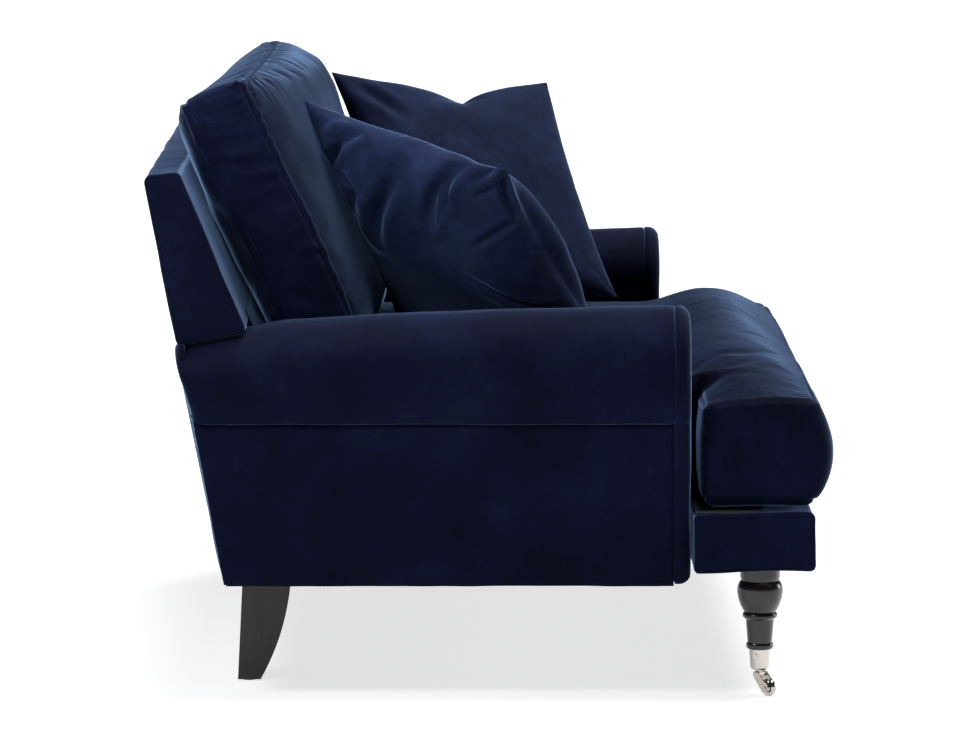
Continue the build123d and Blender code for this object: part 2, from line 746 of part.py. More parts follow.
def make_castor_cup(sign):
    """The cup over the leg's peg, with the swivel pin that hangs from it."""
    wall = turned(
        (0, CUP_BOTTOM_Z),
        (10.5, CUP_BOTTOM_Z),
        (13.2, CUP_BOTTOM_Z + 3),
        (15.3, CUP_TOP_Z),
        (PEG_RADIUS, CUP_TOP_Z),
        (PEG_RADIUS, CUP_BOTTOM_Z + 6),
        (0, CUP_BOTTOM_Z + 6),
    )
    pin = upright_cylinder(0, 0, PIN_HEAD_Z[0], CUP_BOTTOM_Z + 1, SWIVEL_PIN_RADIUS)
    head = upright_cylinder(0, 0, *PIN_HEAD_Z, SWIVEL_PIN_RADIUS + 1.6)
    collar = upright_cylinder(0, 0, CROWN_Z[1] + 0.4, CUP_BOTTOM_Z, SWIVEL_PIN_RADIUS + 2)
    return at_front_leg(sign, wall + pin + head + collar - castor_screw())


def place_castor(side, part):
    turn = Rot(0, 0, CASTOR_HEADING[side])
    return at_front_leg(SIDES[side], turn * part)


def cheek_outline():
    """One side of the fork in the (Y, Z) plane: a round boss for the axle and an arm up to the crown."""
    boss = Pos(-CASTOR_TRAIL, WHEEL_RADIUS) * Circle(6.5)
    arm = polygon((4, CROWN_Z[1]), (-5, CROWN_Z[1]), (-CASTOR_TRAIL - 6, 15), (-CASTOR_TRAIL + 5, 9), (4, 28))
    return boss + arm


def make_castor_fork(side):
    crown = upright_cylinder(0, 0, *CROWN_Z, 7.5)
    bridge = block(-CHEEK_X[1], CHEEK_X[1], -5, 4, *CROWN_Z)
    fork = crown + bridge
    for sign in SIDES.values():
        low, high = sorted((sign * CHEEK_X[0], sign * CHEEK_X[1]))
        fork = fork + along_x(cheek_outline(), low, high)
    pin_hole = upright_cylinder(0, 0, CROWN_Z[0] - 1, CROWN_Z[1] + 1, SWIVEL_PIN_RADIUS + RUNNING_CLEARANCE)
    return place_castor(side, fork - pin_hole - axle_solid())


def axle_solid():
    """The wheel's axle, riveted over both cheeks of the fork."""
    outer = CHEEK_X[1]
    shank = Rot(0, 90, 0) * Cylinder(AXLE_RADIUS, 2 * outer + 2)
    rivets = [Pos(sign * (outer + 0.6), 0, 0) * Rot(0, 90, 0) * Cylinder(3.2, 1.2) for sign in SIDES.values()]
    return Pos(0, -CASTOR_TRAIL, WHEEL_RADIUS) * (shank + rivets)


def make_castor_wheel(side):
    """A small wheel with a rounded tread and a raised hub."""
    half = WHEEL_WIDTH / 2
    bore = AXLE_RADIUS + RUNNING_CLEARANCE
    tread = face_of(
        Line((bore, -half), (5.5, -half)),
        Line((5.5, -half), (6.5, -half + 1.5)),
        Line((6.5, -half + 1.5), (9.5, -half + 1)),
        ThreePointArc((9.5, -half + 1), (WHEEL_RADIUS, 0), (9.5, half - 1)),
        Line((9.5, half - 1), (6.5, half - 1.5)),
        Line((6.5, half - 1.5), (5.5, half)),
        Line((5.5, half), (bore, half)),
        Line((bore, half), (bore, -half)),
    )
    wheel = revolve(Plane.XZ * tread, axis=Axis.Z)
    return place_castor(side, Pos(0, -CASTOR_TRAIL, WHEEL_RADIUS) * Rot(0, 90, 0) * wheel)


# ---- Writing the nodes ----
def write(name, solids):
    """One STEP per node. A node may hold several separate solids."""
    found = []
    for solid in solids if isinstance(solids, list) else [solids]:
        found.extend(solid.solids())
    shape = found[0] if len(found) == 1 else Compound(children=found)
    export_step(shape, f"parts/{name}.step")


def write_pair(name, right_part):
    """The +X piece or pieces, and their mirror image."""
    right = right_part if isinstance(right_part, list) else [right_part]
    write(f"{name}_right", right)
    write(f"{name}_left", [mirrored(part) for part in right])


def write_frame():
    write("base_front_rail", make_front_rail())
    write("base_cross_rails", make_cross_rails())
    write("base_side_rails", make_side_rails())
    write("base_stretchers", make_stretchers())
    write("leg_blocks", make_leg_blocks())
    write_pair("arm_posts", make_arm_posts())
    write_pair("arm_top_rail", make_arm_top_rail())
    write_pair("back_stile", make_back_stile())
    write("back_top_rail", make_back_top_rail())
    write("back_bottom_rail", make_back_bottom_rail())
    write("back_wing_rails", make_back_wing_rails())
    write("back_bolts", [back_bolt_solids(1), back_bolt_solids(-1)])
    write("back_webbing", make_webbing())
    write("seat_springs", make_springs())
    write("spring_clips", make_spring_clips())


def write_upholstery():
    write_pair("arm_padding", make_arm_padding())
    write_pair("arm_cover", make_arm_cover())
    write_pair("arm_facing", make_arm_facing())
    write_pair("side_panel", make_side_panel())
    write("back_padding", make_back_padding())
    write("back_cover", make_back_cover())
    write("rear_cover", make_rear_cover())
    write("border_padding", make_border_padding())
    write("border_cover", make_border_cover())
    write("seat_deck", make_deck())
    write("dust_cover", make_dust_cover())


def write_cushions():
    write("seat_cushion_cover", seat_cushion_solid(0) - seat_cushion_solid(CLOTH))
    write("seat_cushion_core", seat_cushion_solid(CLOTH + TOUCH))
    write("seat_cushion_zip", make_zip())
    write("zip_slider", make_zip_slider())
    write("back_cushion_cover", back_cushion_solid(0) - back_cushion_solid(CLOTH))
    write("back_cushion_core", back_cushion_solid(CLOTH + TOUCH))
    for side, pose in SCATTER_POSES.items():
        cover, pad = make_scatter(pose)
        write(f"scatter_cover_{side}", cover)
        write(f"scatter_pad_{side}", pad)


def write_legs():
    write("leg_bolts", leg_bolt_solids())
    write("rear_leg_glides", make_rear_glides())
    write("castor_screws", [at_front_leg(sign, castor_screw()) for sign in SIDES.values()])
    for side, sign in SIDES.items():
        write(f"front_leg_{side}", make_front_leg(sign))
        write(f"rear_leg_{side}", make_rear_leg(sign))
        write(f"castor_cup_{side}", make_castor_cup(sign))
        write(f"castor_fork_{side}", make_castor_fork(side))
        write(f"castor_axle_{side}", place_castor(side, axle_solid()))
        write(f"castor_wheel_{side}", make_castor_wheel(side))


os.makedirs("parts", exist_ok=True)
write_frame()
write_upholstery()
write_cushions()
write_legs()
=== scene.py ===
import json
import math

import bmesh
import bpy
import numpy as np
from mathutils import Matrix, Vector
from mathutils.bvhtree import BVHTree
from mathutils.kdtree import KDTree


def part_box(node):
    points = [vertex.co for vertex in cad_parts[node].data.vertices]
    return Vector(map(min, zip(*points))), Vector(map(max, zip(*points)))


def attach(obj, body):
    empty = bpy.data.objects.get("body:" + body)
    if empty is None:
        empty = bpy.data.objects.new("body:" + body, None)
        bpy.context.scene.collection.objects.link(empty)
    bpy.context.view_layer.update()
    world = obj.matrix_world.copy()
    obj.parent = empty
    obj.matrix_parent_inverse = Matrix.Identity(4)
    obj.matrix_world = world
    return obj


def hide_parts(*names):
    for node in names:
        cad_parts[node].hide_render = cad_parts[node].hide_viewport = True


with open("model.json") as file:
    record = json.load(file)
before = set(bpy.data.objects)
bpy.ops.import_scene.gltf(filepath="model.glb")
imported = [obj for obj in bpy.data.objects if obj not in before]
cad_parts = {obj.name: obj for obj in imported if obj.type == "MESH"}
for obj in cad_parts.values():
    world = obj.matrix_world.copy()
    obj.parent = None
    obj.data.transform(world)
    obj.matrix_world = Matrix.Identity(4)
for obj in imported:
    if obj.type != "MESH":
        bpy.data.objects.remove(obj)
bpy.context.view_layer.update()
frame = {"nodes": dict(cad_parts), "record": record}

# The looks of a two-seat velvet sofa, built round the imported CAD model.
# Shapes are worked out in millimetres in the row's frame, and become metres in mesh_piece.

MM = 0.001
SIDES = {"left": -1, "right": 1}


def box_mm(node):
    """The low and high corners of a CAD node's box, in millimetres."""
    low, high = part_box(node)
    return np.array(low) / MM, np.array(high) / MM


# ---- Driving dimensions, read from the CAD ----
ARM_LOW = box_mm("arm_cover_right")[0]
FACING_LOW, FACING_HIGH = box_mm("arm_facing_right")
REAR_LOW, REAR_HIGH = box_mm("rear_cover")
BACK_HIGH = box_mm("back_cover")[1]
BORDER_LOW, BORDER_HIGH = box_mm("border_cover")
SEAT_LOW, SEAT_HIGH = box_mm("seat_cushion_cover")
DECK_LOW, DECK_HIGH = box_mm("seat_deck")
DUST_LOW, DUST_HIGH = box_mm("dust_cover")

ARM_BOTTOM_Z = FACING_LOW[2]
ARM_OUTER_X = FACING_HIGH[0] - 16
ARM_SEAM_Z = 397.0
ARM_ROLL_RADIUS = 74.0
REAR_SLOPE = 0.1804
BACK_WING_X = BACK_HIGH[0]

# ---- Camera: side-on, from beyond the left arm, with a long lens ----
CAMERA_PLACE = (-8.237, 0.063, 1.4098)
CAMERA_LENS = 200.47
CAMERA_DOWN = math.radians(6.994)
CAMERA_TURN = math.radians(-0.49)


# ---- Mesh helpers ----
def mesh_piece(name, vertices, faces):
    """A smooth-shaded object from vertices in millimetres."""
    mesh = bpy.data.meshes.new(name)
    mesh.from_pydata((np.asarray(vertices) * MM).tolist(), [], faces)
    work = bmesh.new()
    work.from_mesh(mesh)
    bmesh.ops.remove_doubles(work, verts=work.verts, dist=0.00005)
    bmesh.ops.recalc_face_normals(work, faces=work.faces)
    work.to_mesh(mesh)
    work.free()
    mesh.shade_smooth()
    piece = bpy.data.objects.new(name, mesh)
    bpy.context.scene.collection.objects.link(piece)
    return piece


def coordinates(mesh):
    """The vertices of a mesh, in millimetres."""
    flat = np.empty(len(mesh.vertices) * 3, np.float32)
    mesh.vertices.foreach_get("co", flat)
    return flat.reshape(-1, 3).astype(float) / MM


def set_coordinates(mesh, points):
    """Moves the vertices of a mesh to points in millimetres."""
    mesh.vertices.foreach_set("co", (points * MM).astype(np.float32).ravel())
    mesh.update()


def vertex_normals(mesh):
    """The unit normals of a mesh at its vertices."""
    flat = np.empty(len(mesh.vertices) * 3, np.float32)
    mesh.vertex_normals.foreach_get("vector", flat)
    return flat.reshape(-1, 3).astype(float)


def smoothstep(value, low, high):
    """An eased step from 0 at low to 1 at high."""
    share = np.clip((value - low) / (high - low), 0, 1)
    return share * share * (3 - 2 * share)


def shares(rows, columns, first=0):
    """Two grids: the share across, from first to 1, and the share up, from 0 to 1."""
    across = np.ones(rows)[:, None] * np.linspace(first, 1, columns)
    up = np.linspace(0, 1, rows)[:, None] * np.ones(columns)
    return across, up


def tree_of(points):
    """A search tree over points, numbered in their order."""
    tree = KDTree(len(points))
    for index, place in enumerate(points):
        tree.insert(place, index)
    tree.balance()
    return tree


def travelled_along(path):
    """How far along a path each of its points lies."""
    return np.concatenate([[0], np.cumsum(np.linalg.norm(np.diff(path, axis=0), axis=1))])


def at_stops(path, travelled, stops):
    """The points of a path at the given distances along it."""
    return np.column_stack([np.interp(stops, travelled, path[:, axis]) for axis in range(path.shape[1])])


def soft_noise(points, wavelength, seed, waves=18):
    """Smooth noise of about -1 to 1, the same on every run."""
    chance = np.random.default_rng(seed)
    directions = chance.normal(size=(waves, 3))
    directions /= np.linalg.norm(directions, axis=1)[:, None]
    directions *= chance.uniform(0.6, 1.7, waves)[:, None] * 2 * math.pi / wavelength
    phases = chance.uniform(0, 2 * math.pi, waves)
    return np.sin(points @ directions.T + phases).sum(axis=1) * math.sqrt(2 / waves) * 0.6


def ruffle(piece, amounts, seed):
    """Makes fabric uneven: amounts is a list of (millimetres, wavelength)."""
    points = coordinates(piece.data)
    push = np.zeros(len(points))
    for order, (amount, wavelength) in enumerate(amounts):
        push += amount * soft_noise(points, wavelength, seed + order)
    set_coordinates(piece.data, points + vertex_normals(piece.data) * push[:, None])


def crease(piece, start, end, width, depth):
    """Presses a fold into the fabric from start to end, with a soft ridge beside it."""
    points = coordinates(piece.data)
    start, end = np.array(start, float), np.array(end, float)
    run = end - start
    share = np.clip((points - start) @ run / (run @ run), 0, 1)
    away = points - (start + share[:, None] * run)
    distance = np.linalg.norm(away, axis=1) / width
    taper = np.sin(np.pi * np.clip(share * 0.92 + 0.04, 0, 1))
    press = np.exp(-(distance**2)) - 0.55 * np.exp(-((distance - 1.7) ** 2))
    set_coordinates(piece.data, points - vertex_normals(piece.data) * (depth * taper * press)[:, None])


def pucker(piece, path, amount, spacing, reach, seed):
    """Gathers the fabric in small ridges that run away from a seam and die out within reach."""
    step = 2.0
    tree = tree_of(densify(path, step))
    points = coordinates(piece.data)
    found = [tree.find(point) for point in points]
    along = np.array([hit[1] for hit in found]) * step
    distance = np.array([hit[2] for hit in found])
    line = np.column_stack([along, along * 0, along * 0])
    phase = along / spacing + 0.55 * soft_noise(line, spacing * 5, seed)
    strength = np.clip(0.55 + 0.6 * soft_noise(line, spacing * 7, seed + 1), 0, 1.4)
    fade = np.exp(-distance / (reach * (0.55 + 0.5 * strength))) * smoothstep(distance, 0, 4)
    push = amount * strength * fade * (np.abs(np.sin(np.pi * phase)) - 0.6)
    set_coordinates(piece.data, points + vertex_normals(piece.data) * push[:, None])


def press_folds(piece, places, folds):
    """Folds a panel. places gives each vertex's panel number and its place on the cut panel in
    millimetres, and a fold is (panel, width, depth, [points on the panel])."""
    points = coordinates(piece.data)
    push = np.zeros(len(points))
    margin = np.min(np.column_stack([places[:, 1:], SCATTER_CUT - places[:, 1:]]), axis=1)
    for panel, width, depth, path in folds:
        path = np.array(path, float)
        best = np.full(len(points), 1e9)
        share = np.zeros(len(points))
        for order in range(len(path) - 1):
            run = path[order + 1] - path[order]
            step = np.clip((places[:, 1:] - path[order]) @ run / (run @ run), 0, 1)
            distance = np.linalg.norm(places[:, 1:] - path[order] - step[:, None] * run, axis=1)
            closer = distance < best
            best[closer] = distance[closer]
            share[closer] = (order + step[closer]) / (len(path) - 1)
        best /= width
        taper = np.sin(np.pi * (0.06 + 0.88 * share)) ** 0.7
        shape = -np.exp(-(best**2)) + 0.6 * np.exp(-(((best - 1.7) / 0.9) ** 2))
        push += np.where(places[:, 0] == panel, depth * taper * shape * smoothstep(margin, -2, 8), 0)
    set_coordinates(piece.data, points + vertex_normals(piece.data) * push[:, None])


def ring_faces(rings, count):
    """Four-sided faces between rings of count vertices each."""
    faces = []
    for ring in range(rings - 1):
        base = ring * count
        for step in range(count):
            after = (step + 1) % count
            faces.append((base + step, base + after, base + count + after, base + count + step))
    return faces


def rounded_outline(corners, spacing):
    """A closed outline through (u, v, radius) corners, as evenly spaced points."""
    path = []
    for index, (u, v, radius) in enumerate(corners):
        here = np.array((u, v), float)
        to_before = np.array(corners[index - 1][:2]) - here
        to_after = np.array(corners[(index + 1) % len(corners)][:2]) - here
        to_before /= np.linalg.norm(to_before)
        to_after /= np.linalg.norm(to_after)
        half = math.acos(np.clip(to_before @ to_after, -1, 1)) / 2
        bisector = (to_before + to_after) / np.linalg.norm(to_before + to_after)
        centre = here + bisector * radius / math.sin(half)
        first = here + to_before * radius / math.tan(half) - centre
        last = here + to_after * radius / math.tan(half) - centre
        for share in np.linspace(0, 1, 10):
            spoke = first * (1 - share) + last * share
            length = np.linalg.norm(spoke)
            path.append(centre + (spoke * radius / length if length > 1e-9 else 0))
    path = np.array(path + [path[0]])
    travelled = travelled_along(path)
    stops = np.linspace(0, travelled[-1], max(int(travelled[-1] / spacing), 12), endpoint=False)
    return at_stops(path, travelled, stops)


def outward(outline):
    """Unit normals of a closed outline, pointing out of it."""
    along = np.roll(outline, -1, axis=0) - np.roll(outline, 1, axis=0)
    normals = np.column_stack([along[:, 1], -along[:, 0]])
    normals /= np.linalg.norm(normals, axis=1)[:, None]
    area = np.sum(outline[:, 0] * np.roll(outline[:, 1], -1) - outline[:, 1] * np.roll(outline[:, 0], -1))
    return normals if area > 0 else -normals


def onto_segment(points, start, end):
    """The nearest point of a segment to each point."""
    start, end = np.array(start, float), np.array(end, float)
    run = end - start
    share = np.clip((points - start) @ run / (run @ run), 0, 1)
    return start + share[:, None] * run


def loft(name, outline, core, place, rings):
    """A closed shell through rings of (inset, shrink towards the core segment, station, shift)."""
    normals = outward(outline)
    middle = onto_segment(outline, *core)
    layers = []
    for amount, shrink, station, shift in rings:
        flat = outline - normals * amount
        flat = flat + (middle - flat) * shrink
        layers.append(place(flat, station, shift))
    count = len(outline)
    faces = ring_faces(len(layers), count)
    faces.append(tuple(range(count)))
    last = (len(layers) - 1) * count
    faces.append(tuple(range(last, last + count)))
    return mesh_piece(name, np.vstack(layers), faces)


def end_rings(station, direction, radius, bulge, seam):
    """Rings that round an end over, with a sunk seam where its flat starts if seam is more than 0."""
    rings = []
    for angle in np.linspace(0, math.pi / 2, 6):
        shift = direction * radius * (math.sin(angle) - 1)
        rings.append((radius * (1 - math.cos(angle)), 0.0, station, shift))
    if seam:
        rings.append((radius + 0.9, 0.0, station, -direction * seam))
        rings.append((radius + 2.2, 0.0, station, -direction * 0.2))
    flat = radius + (2.2 if seam else 0)
    for shrink in (0.06, 0.16, 0.3, 0.45, 0.6, 0.75, 0.88, 0.96):
        rings.append((flat, shrink, station, direction * bulge * (1 - (1 - shrink) ** 3)))
    return rings


def straight_run(low, high, count):
    """Rings of the whole outline, evenly spaced between two stations."""
    return [(0.0, 0.0, station, 0.0) for station in np.linspace(low, high, count)]


def capped_run(count, radius, bulge, seam):
    """Rings of a long padded piece, rounded over at both ends."""
    first = end_rings(-1.0, -1, radius, bulge, seam)[::-1]
    return first + straight_run(-0.985, 0.985, count) + end_rings(1.0, 1, radius, bulge, seam)


def across_place(half):
    """Places a (y, z) outline across X, with stations -1 and 1 at the half width."""
    def place(flat, station, shift):
        x = half * station + shift
        return np.column_stack([np.full(len(flat), x), flat[:, 0], flat[:, 1]])
    return place


def straight_rim(steps):
    """A pad's rim as straight rings between its two edges, at the given shares."""
    def rim(front_edge, rear_edge):
        return [front_edge * (1 - step) + rear_edge * step for step in steps]
    return rim


def pad(name, front, rear, rim):
    """A closed pad from two grids of points joined by rim rings, each a function of share 0 to 1."""
    rows, columns = front.shape[:2]
    edge = (
        [(0, c) for c in range(columns)]
        + [(r, columns - 1) for r in range(1, rows)]
        + [(rows - 1, c) for c in range(columns - 2, -1, -1)]
        + [(r, 0) for r in range(rows - 2, 0, -1)]
    )
    sheet = rows * columns
    vertices = [front.reshape(-1, 3), rear.reshape(-1, 3)]
    faces = []
    for base, flip in ((0, False), (sheet, True)):
        for r in range(rows - 1):
            for c in range(columns - 1):
                corner = base + r * columns + c
                face = (corner, corner + 1, corner + columns + 1, corner + columns)
                faces.append(face[::-1] if flip else face)
    loops = [[r * columns + c for r, c in edge]]
    front_edge = np.array([front[r, c] for r, c in edge])
    rear_edge = np.array([rear[r, c] for r, c in edge])
    for order, ring in enumerate(rim(front_edge, rear_edge)):
        vertices.append(ring)
        start = 2 * sheet + order * len(edge)
        loops.append(list(range(start, start + len(edge))))
    loops.append([sheet + r * columns + c for r, c in edge])
    for first, second in zip(loops, loops[1:]):
        for step in range(len(edge)):
            after = (step + 1) % len(edge)
            faces.append((first[step], first[after], second[after], second[step]))
    return mesh_piece(name, np.vstack(vertices), faces)


def inflate(piece, pressure, growth, reach, pins, rest=None, frames=20, bending=0.4):
    """Runs a piece as cloth under inner pressure, moves no point further than reach, and keeps the result.
    growth is how much larger the fabric is cut than the shape, which makes it pucker."""
    start = coordinates(piece.data)
    if rest is not None:
        piece.shape_key_add(name="made")
        key = piece.shape_key_add(name="cut")
        key.data.foreach_set("co", (rest * MM).astype(np.float32).ravel())
    cloth = piece.modifiers.new("Cloth", "CLOTH")
    settings = cloth.settings
    settings.quality = 6
    settings.mass = 0.03
    settings.tension_stiffness = 15
    settings.compression_stiffness = 15
    settings.shear_stiffness = 7
    settings.bending_stiffness = bending
    settings.use_pressure = True
    settings.uniform_pressure_force = pressure
    settings.effector_weights.gravity = 0
    settings.shrink_min = -growth
    cloth.collision_settings.use_collision = False
    if rest is not None:
        settings.rest_shape_key = key
    group = piece.vertex_groups.new(name="pins")
    for weight in np.unique(pins[pins > 0]):
        group.add([int(i) for i in np.nonzero(pins == weight)[0]], float(weight), "REPLACE")
    settings.vertex_group_mass = group.name
    cloth.point_cache.frame_start = 1
    cloth.point_cache.frame_end = frames
    scene = bpy.context.scene
    for number in range(1, frames + 1):
        scene.frame_set(number)
    evaluated = piece.evaluated_get(bpy.context.evaluated_depsgraph_get())
    end = coordinates(evaluated.data)
    scene.frame_set(1)
    piece.modifiers.remove(cloth)
    piece.shape_key_clear()
    piece.vertex_groups.clear()
    move = end - start
    length = np.linalg.norm(move, axis=1)
    move *= (reach * np.tanh(length / reach) / np.maximum(length, 1e-6))[:, None]
    set_coordinates(piece.data, start + move)


def topstitch(name, piece, path, toward, body, gap=5.0):
    """Stitches on the surface of a piece, beside a seam, on the side given by the points toward."""
    path, toward = np.asarray(path, float), np.asarray(toward, float)
    step = toward - path
    step /= np.maximum(np.linalg.norm(step, axis=1), 1e-9)[:, None]
    polygons = [tuple(polygon.vertices) for polygon in piece.data.polygons]
    surface = BVHTree.FromPolygons([tuple(point) for point in coordinates(piece.data)], polygons)
    line = np.array([surface.find_nearest(point)[0] for point in path + step * gap])
    return dress(stitches(name, line), THREAD, body)


def subdivide(piece):
    """One level of subdivision, applied."""
    surface = piece.modifiers.new("Subdivision", "SUBSURF")
    surface.levels = 1
    surface.render_levels = 1
    evaluated = piece.evaluated_get(bpy.context.evaluated_depsgraph_get())
    finer = bpy.data.meshes.new_from_object(evaluated)
    piece.modifiers.clear()
    coarse = piece.data
    piece.data = finer
    bpy.data.meshes.remove(coarse)
    finer.name = piece.name
    finer.shade_smooth()


# A stitch, as (share of its length, share of its thickness) at each ring
STITCH_RINGS = ((-0.5, 0.3), (-0.3, 1.0), (0.3, 1.0), (0.5, 0.3))
STITCH_SIDES = 5


def stitches(name, path, spacing=4.2, length=2.9, thickness=0.6):
    """A row of thread stitches along a path in millimetres."""
    path = np.asarray(path, float)
    travelled = travelled_along(path)
    stops = np.arange(spacing / 2, travelled[-1] - spacing / 2, spacing)
    centres = at_stops(path, travelled, stops)
    ahead = at_stops(path, travelled, stops + 1)
    tube = ring_faces(len(STITCH_RINGS), STITCH_SIDES)
    last = (len(STITCH_RINGS) - 1) * STITCH_SIDES
    vertices, faces = [], []
    for centre, front in zip(centres, ahead):
        along = front - centre
        along /= max(np.linalg.norm(along), 1e-9)
        side = np.cross(along, (0.3, 0.2, 0.93))
        side /= max(np.linalg.norm(side), 1e-9)
        up = np.cross(along, side)
        base = len(vertices)
        for offset, size in STITCH_RINGS:
            for turn in range(STITCH_SIDES):
                angle = turn * 2 * math.pi / STITCH_SIDES
                round_it = (side * math.cos(angle) + up * math.sin(angle)) * thickness * size / 2
                vertices.append(centre + along * offset * length + round_it)
        faces += [tuple(base + corner for corner in face) for face in tube]
        faces.append(tuple(base + turn for turn in range(STITCH_SIDES)))
        faces.append(tuple(base + last + turn for turn in range(STITCH_SIDES)))
    return mesh_piece(name, vertices, faces)


# ---- Materials ----
def new_material(name):
    """A node material, with its tree and its shader."""
    material = bpy.data.materials.new(name)
    material.use_nodes = True
    tree = material.node_tree
    shader = tree.nodes["Principled BSDF"]
    return material, tree, shader


def object_place(tree, scale=(1, 1, 1)):
    """Object coordinates in metres, stretched by scale."""
    source = tree.nodes.new("ShaderNodeTexCoord")
    mapping = tree.nodes.new("ShaderNodeMapping")
    mapping.inputs["Scale"].default_value = scale
    tree.links.new(source.outputs["Object"], mapping.inputs["Vector"])
    return mapping.outputs["Vector"]


def noise_node(tree, place, scale, detail=4.0, roughness=0.5, distortion=0.0):
    """Noise at a place, from about 0 to 1."""
    node = tree.nodes.new("ShaderNodeTexNoise")
    node.inputs["Scale"].default_value = scale
    node.inputs["Detail"].default_value = detail
    node.inputs["Roughness"].default_value = roughness
    node.inputs["Distortion"].default_value = distortion
    tree.links.new(place, node.inputs["Vector"])
    return node.outputs["Fac"]


def ramp_node(tree, source, stops):
    """A colour ramp through (position, colour) stops."""
    node = tree.nodes.new("ShaderNodeValToRGB")
    elements = node.color_ramp.elements
    while len(elements) < len(stops):
        elements.new(0.5)
    for element, (position, colour) in zip(elements, stops):
        element.position = position
        element.color = (*colour, 1.0)
    tree.links.new(source, node.inputs["Fac"])
    return node.outputs["Color"]


def mix_node(tree, kind, factor, first, second):
    """Two colours mixed by a blend of the given kind."""
    node = tree.nodes.new("ShaderNodeMix")
    node.data_type = "RGBA"
    node.blend_type = kind
    node.inputs["Factor"].default_value = factor
    tree.links.new(first, node.inputs["A"])
    tree.links.new(second, node.inputs["B"])
    return node.outputs["Result"]


def bump_node(tree, height, distance, strength, before=None):
    """A normal bumped by height, on top of the one before it."""
    node = tree.nodes.new("ShaderNodeBump")
    node.inputs["Distance"].default_value = distance
    node.inputs["Strength"].default_value = strength
    tree.links.new(height, node.inputs["Height"])
    if before is not None:
        tree.links.new(before, node.inputs["Normal"])
    return node.outputs["Normal"]


def grey(value):
    """A colour with equal red, green and blue."""
    return (value, value, value)


def velvet_material(name, dye_and_painted_light):
    """Navy velvet: short pile with a soft sheen, brushed patches and a faint weft.
    Its colour factor multiplies its red, green and blue. For the main velvet this is the fabric's own colour.
    For the scatter cushions it makes a lighter copy, which is painted light."""
    material, tree, shader = new_material(name)
    even = object_place(tree)
    patches = ramp_node(
        tree,
        noise_node(tree, even, 6.5, 5.0, 0.55, 0.8),
        [
            (0.30, tuple(dye_and_painted_light * np.array((0.0015, 0.0027, 0.0115)))),
            (0.52, tuple(dye_and_painted_light * np.array((0.0026, 0.0047, 0.0190)))),
            (0.72, tuple(dye_and_painted_light * np.array((0.0050, 0.0088, 0.0310)))),
        ],
    )
    mottle = ramp_node(tree, noise_node(tree, even, 55, 4.0, 0.6, 0.4), [(0.3, grey(0.62)), (0.7, grey(1.0))])
    weft = ramp_node(
        tree,
        noise_node(tree, object_place(tree, (22, 22, 420)), 1.0, 2.0),
        [(0.3, grey(0.74)), (0.68, grey(1.0))],
    )
    colour = mix_node(tree, "MULTIPLY", 0.8, patches, mottle)
    colour = mix_node(tree, "MULTIPLY", 0.7, colour, weft)
    tree.links.new(colour, shader.inputs["Base Color"])
    shader.inputs["Roughness"].default_value = 0.78
    shader.inputs["Specular IOR Level"].default_value = 0.04
    shader.inputs["Sheen Weight"].default_value = 1.0
    shader.inputs["Sheen Roughness"].default_value = 0.31
    shader.inputs["Sheen Tint"].default_value = (0.150, 0.245, 0.44, 1.0)
    brushed = bump_node(tree, noise_node(tree, even, 16, 4.0, 0.6, 0.5), 0.006, 0.22)
    pile = bump_node(tree, noise_node(tree, even, 900, 2.0), 0.0006, 0.35, brushed)
    tree.links.new(pile, shader.inputs["Normal"])
    return material


def thread_material():
    """Twisted sewing thread in the dark of the velvet."""
    material, tree, shader = new_material("thread")
    twist = noise_node(tree, object_place(tree, (900, 900, 900)), 1.0, 1.0)
    colour = ramp_node(tree, twist, [(0.3, (0.0012, 0.0022, 0.009)), (0.7, (0.0028, 0.005, 0.018))])
    tree.links.new(colour, shader.inputs["Base Color"])
    shader.inputs["Roughness"].default_value = 0.55
    shader.inputs["Specular IOR Level"].default_value = 0.08
    return material


def cloth_material(name, dark, light, scale):
    """Plain woven cloth with crossing threads."""
    material, tree, shader = new_material(name)
    warp = noise_node(tree, object_place(tree, (scale, 30, 30)), 1.0, 2.0)
    weft = noise_node(tree, object_place(tree, (30, scale, 30)), 1.0, 2.0)
    threads = [ramp_node(tree, source, [(0.3, grey(0.6)), (0.7, grey(1.0))]) for source in (warp, weft)]
    weave = mix_node(tree, "MULTIPLY", 1.0, *threads)
    colour = ramp_node(tree, weave, [(0.3, dark), (1.0, light)])
    tree.links.new(colour, shader.inputs["Base Color"])
    shader.inputs["Roughness"].default_value = 0.9
    tree.links.new(bump_node(tree, weave, 0.0004, 0.5), shader.inputs["Normal"])
    return material


def wood_material(name, dark, light, roughness, coat, along):
    """Timber with its grain drawn out along one axis."""
    material, tree, shader = new_material(name)
    stretch = [55.0, 55.0, 55.0]
    stretch["xyz".index(along)] = 3.5
    grain = noise_node(tree, object_place(tree, stretch), 1.0, 6.0, 0.6, 1.4)
    pores = noise_node(tree, object_place(tree, [s * 7 for s in stretch]), 1.0, 2.0)
    colour = ramp_node(tree, grain, [(0.3, dark), (0.7, light)])
    tree.links.new(colour, shader.inputs["Base Color"])
    shine = ramp_node(tree, pores, [(0.3, grey(roughness * 0.85)), (0.7, grey(roughness * 1.2))])
    tree.links.new(shine, shader.inputs["Roughness"])
    shader.inputs["Specular IOR Level"].default_value = 0.3
    shader.inputs["Coat Weight"].default_value = coat
    shader.inputs["Coat Roughness"].default_value = 0.12
    tree.links.new(bump_node(tree, pores, 0.0002, 0.25), shader.inputs["Normal"])
    return material


